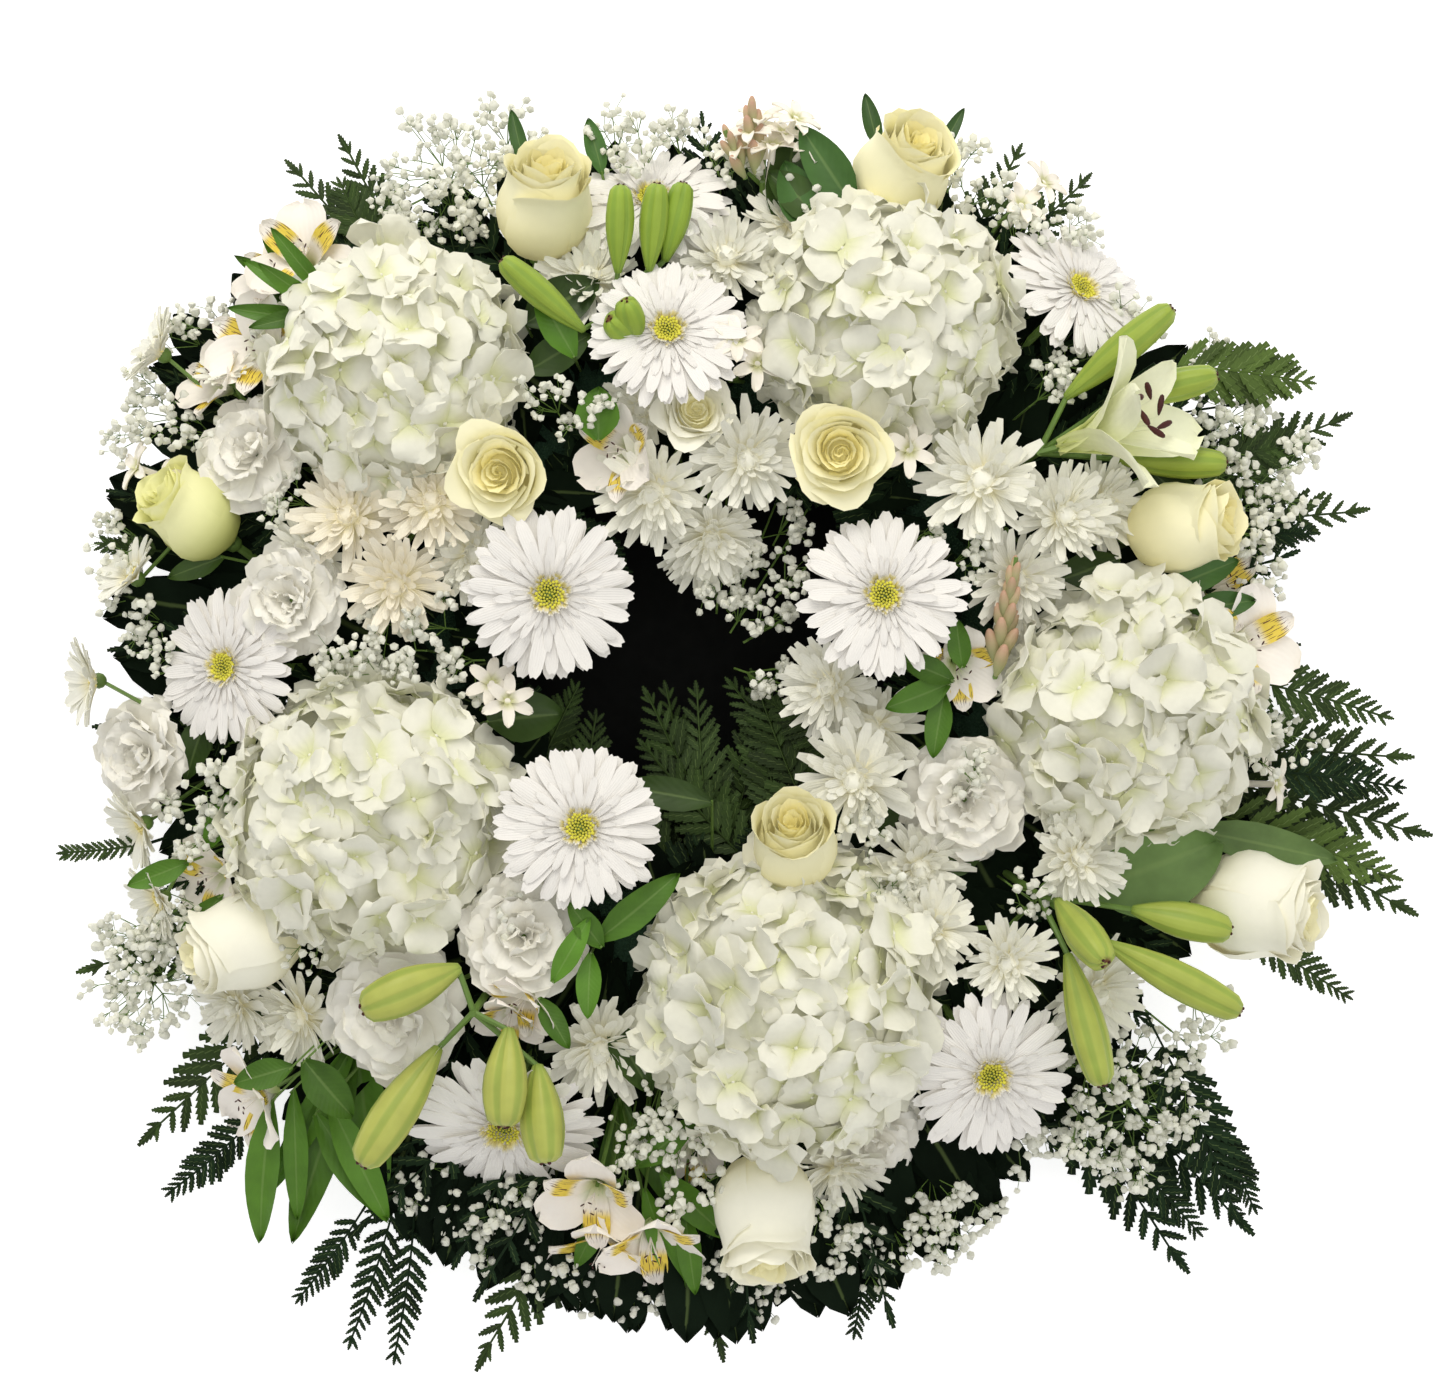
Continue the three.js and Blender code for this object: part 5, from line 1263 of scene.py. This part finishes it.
class WREATH_OT_lisianthus(bpy.types.Operator):
    """Makes the ruffled lisianthus"""

    bl_idname = "wreath.lisianthus"
    bl_label = "Lisianthus"

    def execute(self, context):
        look = finishes()
        for i, (fork, azimuth, foot, heads) in enumerate(LISIANTHUS, 1):
            bunch = Bunch(f"lisianthus {i}")
            places = [spot(at, *face) for at, face, _ in heads]
            for place, (_, _, radius) in zip(places, heads):
                ruffled_head(bunch, place, radius)
            spray_stems(bunch, fork, azimuth, foot, places, 15, 1)
            bunch.finish(f"lisianthus_{i}_heads", [look.lisianthus, look.stem], f"lisianthus_{i}", slot="lisianthus_petals")
        return {"FINISHED"}


class WREATH_OT_alstroemerias(bpy.types.Operator):
    """Makes the alstroemeria stems with their streaked flowers, and the tuberose"""

    bl_idname = "wreath.alstroemerias"
    bl_label = "Alstroemerias and Tuberose"

    def execute(self, context):
        look = finishes()
        skins = [look.alstroemeria, look.streaked, look.stem, look.leaf, look.anther]
        for i, (fork, azimuth, foot, blooms, leaves) in enumerate(ALSTROEMERIAS, 1):
            bunch = Bunch(f"alstroemeria {i}")
            places = [spot(at, *face) for at, face in blooms]
            for place in places:
                self.bloom(bunch, place, 28)
            spray_stems(bunch, fork, azimuth, foot, places, 17, 2)
            for towards, reach, width, rise, droop in leaves:
                slope = math.degrees(math.atan2(rise, reach))
                fall = math.degrees(math.atan2(droop * 2, reach))
                add_leaf(bunch, fork, towards, reach, width, (slope, slope - fall), 3)
            bunch.finish(f"alstroemeria_{i}_flowers", skins, f"alstroemeria_{i}", slot="alstroemeria_petals")
        bunch = Bunch("more alstroemerias")
        for at, face, radius in MORE_ALSTROEMERIAS:
            place = spot(at, *face)
            self.bloom(bunch, place, radius)
            stalk(bunch, place, 16, 1.6, 2, at)
        bunch.finish("alstroemerias_between", skins, slot="alstroemeria_petals")
        self.tuberoses(look)
        return {"FINISHED"}

    def bloom(self, bunch, place, radius):
        trumpet_head(bunch, place, radius, (0, 1), radius * 1.5, 1.12, 0.62, (64, 0))
        stamens(bunch, place @ Matrix.Translation(Vector((0, 0, -10)) * MM), 14, 3, 0, 4, 5, 16, 1.5)

    def spike(self, bunch, foot, tip, buds, size):
        """A tuberose spike: pointed buds that lap each other along its stem, smaller towards the tip."""
        a, b = Vector(foot) * MM, Vector(tip) * MM
        axis = b - a
        turn = UP.rotation_difference(axis).to_matrix().to_4x4()
        bunch.stem(rod(6, 2), [a, b], 1.6)
        bud = shape("tuberose bud", lambda: spindle("tuberose bud", 3.6, 22, 1, rib=0.05, blunt=0.3, around=9, along=8))
        for k in range(buds):
            t = k / buds
            around = Matrix.Rotation(k * GOLDEN_ANGLE, 4, "Z") @ Matrix.Rotation(0.42 - 0.3 * t, 4, "X")
            bunch.add(bud, Matrix.Translation(a + axis * t * 0.86) @ turn @ around @ Matrix.Scale(size * (1.15 - 0.45 * t), 4))

    def tuberoses(self, look):
        fork, azimuth, foot, heads = TUBEROSE
        bunch = Bunch("tuberose")
        places = [spot(at, *face) for at, face in heads]
        spray_stems(bunch, fork, azimuth, foot, places, 20, 2)
        for k in range(7):
            side = (k - 3) * 13
            place = spot((36 + 0.5 * side, 304 + 8 * (k % 3), 102 + 5 * (k % 2)), 84 - side, 56)
            star_head(bunch, place, 15)
        self.spike(bunch, (26, 288, 98), (23, 326, 110), 10, 1.0)
        self.spike(bunch, (20, 286, 100), (8, 312, 112), 5, 0.8)
        bunch.finish("tuberose_1_florets", [look.tuberose, look.tuberose_bud, look.stem], "tuberose_1", slot="tuberose_petals")
        bunch = Bunch("stars")
        for at, face in STARS:
            place = spot(at, *face)
            star_head(bunch, place, 15)
            stalk(bunch, place, 20, 1.4, 2, at)
        self.spike(bunch, (166, -10, 122), (176, 58, 142), 18, 1.0)
        bunch.stem(rod(5, 2), [foot_of((166, -10)), Vector((166, -10, 122)) * MM], 1.8)
        bunch.finish("tuberoses_between", [look.tuberose, look.tuberose_bud, look.stem], slot="tuberose_petals")


class WREATH_OT_breath(bpy.types.Operator):
    """Makes the baby's breath"""

    bl_idname = "wreath.breath"
    bl_label = "Baby's Breath"

    def execute(self, context):
        look = finishes()
        for i, (fork, azimuth, reach) in enumerate(BREATHS, 1):
            bunch, top = Bunch(f"breath {i}"), Vector(fork) * MM
            bunch.stem(rod(5, 1), [foot_of(fork, azimuth), top], 1.4)
            for k in range(7):
                out = facing(azimuth + (k - 3) * 52, 72)
                add_sprig(bunch, fork, out, reach * 1.1, 5)
            bunch.finish(f"babys_breath_{i}_sprig", [look.breath, look.stem], f"babys_breath_{i}", slot="breath_blossom")
        bunch = Bunch("sprigs")
        for x, y, z in SPRIGS:
            out = (facing(math.degrees(math.atan2(y, x)), 62) + Vector((0, 0, 0.3))).normalized()
            at = Vector((x, y, z)) - out * 20
            bunch.stem(rod(3, 1), [foot_of(at), at * MM], 0.9)
            add_sprig(bunch, at, out, 38, 6)
        bunch.finish("sprigs_between", [look.breath, look.stem], slot="breath_blossom")
        return {"FINISHED"}


class WREATH_OT_foliage(bpy.types.Operator):
    """Makes the fern fronds and the leaves"""

    bl_idname = "wreath.foliage"
    bl_label = "Fern and Leaves"

    def execute(self, context):
        look = finishes()
        for i, ((azimuth, radius), fronds) in enumerate(FERNS, 1):
            bunch = Bunch(f"fern {i}")
            inwards = radius < 185
            out = facing(azimuth, 90) * (-1 if inwards else 1)
            root = facing(azimuth, 90) * radius + Vector((0, 0, 42.6))
            mouth = root + out * 17
            bunch.stem(rod(6, 0), [(root - out * 12) * MM, mouth * MM], 2.0)
            for k, (towards, reach) in enumerate(fronds):
                add_frond(bunch, mouth, towards, reach * 1.02, reach * 0.38, 6 + 2 * k, 2 if inwards else 8, 13, 6, 0, (-8, 8)[k % 2])
            # The fifth fern, low on the right, takes the darker fern green as painted shade.
            bunch.finish(f"fern_{i}_fronds", [look.shaded_fern if i == 5 else look.fern], f"fern_{i}", slot="fern_green")
        self.bed(look)
        bunch = Bunch("fronds")
        # The last field picks the fern green: 0 plain, 1 darker as painted shade, 2 lighter as painted light.
        for at, azimuth, reach, width, slope, droop, dark in FRONDS:
            add_frond(bunch, at, azimuth, reach, width, slope, droop, 12, 5, int(dark), bunch.rng.uniform(-8, 8))
            bunch.stem(rod(4, 1), [foot_of(at), Vector(at) * MM], 1.2)
        bunch.finish("fronds_between", [look.fern, look.shaded_fern, look.bright_fern], slot="fern_green")
        bunch = Bunch("leaves")
        for at, azimuth, reach, width, pitch, kind in LEAVES:
            add_leaf(bunch, at, azimuth, reach, width, pitch, int(kind), bunch.rng.uniform(-14, 14))
            bunch.stem(rod(4, 2), [foot_of(at), Vector(at) * MM], 1.0)
        bunch.finish("leaves_between", [look.leaf, look.dark_leaf, look.stem, look.sage, look.deep_leaf], slot="fern_green")
        return {"FINISHED"}

    def bed(self, look):
        """Near-black leaves and short fronds, coloured as painted shade, that cover the foam under the flowers, fill
        the rim and hang below the wreath.
        """
        bunch = Bunch("leaf bed")
        rng = bunch.rng
        blades = [petal("bed leaf", 1, 0.46, tapering(0.2, 0.5, 0.02, 0.8), (10 + 8 * k, -12 - 6 * k), rows=5, cols=2, cup=0.3, thick=0.005)
                  for k in range(3)]

        def lay(azimuth, radius, height, towards, reach):
            at = facing(azimuth, 90) * radius + Vector((0, 0, height))
            turn = Matrix.Rotation(math.radians(towards - 90), 4, "Z") @ Matrix.Rotation(rng.uniform(-0.4, 0.4), 4, "Y")
            bunch.add(rng.choice(blades), Matrix.Translation(at * MM) @ turn @ Matrix.Scale(reach, 4))

        for i in range(300):
            azimuth = 360 * i / 300 * 4 + rng.uniform(-6, 6)
            layer = i % 4
            inwards = layer == 0
            reach = rng.uniform(40, 58) if inwards else rng.uniform(70, 96)
            height = 62 + rng.uniform(0, 16) - 3 * layer
            lay(azimuth, (158, 170, 190, 210)[layer], height, azimuth + (180 if inwards else 0) + rng.uniform(-42, 42), reach)
        for i in range(420):
            azimuth = -130 + 360 * (i / 300 if i < 300 else 0.2 * (i - 300) / 120) + rng.uniform(-2, 2)
            reach = rng.uniform(54, 82)
            tip = self.rim(azimuth) - 74 * rng.random() ** 1.6
            lay(azimuth, tip - reach, 50 + rng.uniform(0, 14), azimuth + rng.uniform(-24, 24), reach)
        for blade in blades:
            bpy.data.meshes.remove(blade)
        for k in range(36):
            out = facing(-130 + 10 * k, 90)
            bunch.stem(rod(5, 0), [out * 205 * MM + UP * 46 * MM, out * (self.rim(-130 + 10 * k) - 50) * MM + UP * 54 * MM], 1.6)
        bunch.finish("leaf_bed", [look.shade], slot="fern_green")
        # Short fronds in the darker fern green, as painted shade under the flowers.
        bunch = Bunch("fern bed")
        rng = bunch.rng
        for i in range(60):
            azimuth = 360 * i / 60 + rng.uniform(-3, 3)
            inwards = i % 4 == 0
            at = facing(azimuth, 90) * (172 if inwards else 218) + Vector((0, 0, 66 + rng.uniform(0, 8)))
            towards = azimuth + (180 if inwards else 0) + rng.uniform(-22, 22)
            reach = rng.uniform(60, 74) if inwards else self.rim((azimuth + 130) % 360 - 130) - 218 + rng.uniform(-30, 14)
            add_frond(bunch, at, towards, reach, 56, 10, 16, 7, 4, 0, rng.uniform(-15, 15))
        bunch.finish("fern_bed", [look.shaded_fern], slot="fern_green")

    def rim(self, azimuth):
        """The radius the dark leaves reach at an azimuth."""
        for (a, low), (b, high) in zip(RIM, RIM[1:]):
            if azimuth < b:
                return low + (high - low) * (azimuth - a) / (b - a)
        return RIM[-1][1]


class WREATH_OT_stage(bpy.types.Operator):
    """Makes the floor, the soft lights and the camera"""

    bl_idname = "wreath.stage"
    bl_label = "Stage"

    def execute(self, context):
        scene = context.scene
        bm = bmesh.new()
        bmesh.ops.create_grid(bm, x_segments=8, y_segments=8, size=4.0)
        bmesh.ops.translate(bm, verts=bm.verts, vec=(0, 0, -0.0005))
        mesh = bpy.data.meshes.new("floor")
        bm.to_mesh(mesh)
        bm.free()
        floor = bpy.data.objects.new("floor", mesh)
        scene.collection.objects.link(floor)
        pale = {"roughness": 0.9, "emission_color": (1, 1, 1, 1), "emission_strength": 0.71}
        mesh.materials.append(new_material("pale floor", lambda tree: {"Base Color": (0.7, 0.7, 0.7)}, **pale))
        self.lamp("key light", (-0.3, 1.7, 1.5), 1.2, 22.5, (1.0, 0.96, 0.88))
        self.lamp("fill light", (1.5, -0.7, 1.8), 2.0, 6.0, (1.0, 0.98, 0.95))
        self.lamp("front light", (0.0, 0.4, 3.0), 2.4, 14, (1.0, 0.98, 0.94))
        world = bpy.data.worlds.new("studio")
        world.use_nodes = True
        world.node_tree.nodes["Background"].inputs["Color"].default_value = (1.0, 1.0, 1.0, 1.0)
        world.node_tree.nodes["Background"].inputs["Strength"].default_value = 0.58
        scene.world = world
        camera = bpy.data.cameras.new("camera")
        camera.lens = 72.0
        camera.sensor_width = 36.0
        watcher = bpy.data.objects.new("camera", camera)
        watcher.location = (0.0047, -0.016, 1.81)
        scene.collection.objects.link(watcher)
        scene.camera = watcher
        scene.view_settings.view_transform = "Standard"
        return {"FINISHED"}

    def lamp(self, name, at, size, power, tint):
        light = bpy.data.lights.new(name, "AREA")
        light.energy, light.size, light.color = power, size, tint
        obj = bpy.data.objects.new(name, light)
        obj.location = at
        obj.rotation_euler = (Vector((0, 0, 0.1)) - Vector(at)).to_track_quat("-Z", "Y").to_euler()
        bpy.context.scene.collection.objects.link(obj)




OPERATORS = (
    WREATH_OT_base, WREATH_OT_hydrangeas, WREATH_OT_gerberas, WREATH_OT_roses, WREATH_OT_lilies,
    WREATH_OT_chrysanthemums, WREATH_OT_lisianthus, WREATH_OT_alstroemerias, WREATH_OT_breath,
    WREATH_OT_foliage, WREATH_OT_stage,
)


class WREATH_PT_panel(bpy.types.Panel):
    """Lists the wreath's settings and its pieces"""

    bl_idname = "WREATH_PT_panel"
    bl_label = "Wreath"
    bl_space_type = "VIEW_3D"
    bl_region_type = "UI"
    bl_category = "Wreath"

    def draw(self, context):
        for group in (context.scene.wreath_sizes, context.scene.wreath_colours):
            box = self.layout.box()
            for key in group.bl_rna.properties.keys()[2:]:
                box.prop(group, key)
        for operator in OPERATORS:
            self.layout.operator(operator.bl_idname)


CLASSES = (WreathSizes, WreathColours, *OPERATORS, WREATH_PT_panel)


def register():
    for cls in CLASSES:
        bpy.utils.register_class(cls)
    bpy.types.Scene.wreath_sizes = bpy.props.PointerProperty(type=WreathSizes)
    bpy.types.Scene.wreath_colours = bpy.props.PointerProperty(type=WreathColours)


def unregister():
    del bpy.types.Scene.wreath_sizes
    del bpy.types.Scene.wreath_colours
    for cls in reversed(CLASSES):
        bpy.utils.unregister_class(cls)


def main():
    register()
    for operator in OPERATORS:
        group, name = operator.bl_idname.split(".")
        getattr(getattr(bpy.ops, group), name)()


if __name__ == "__main__":
    main()
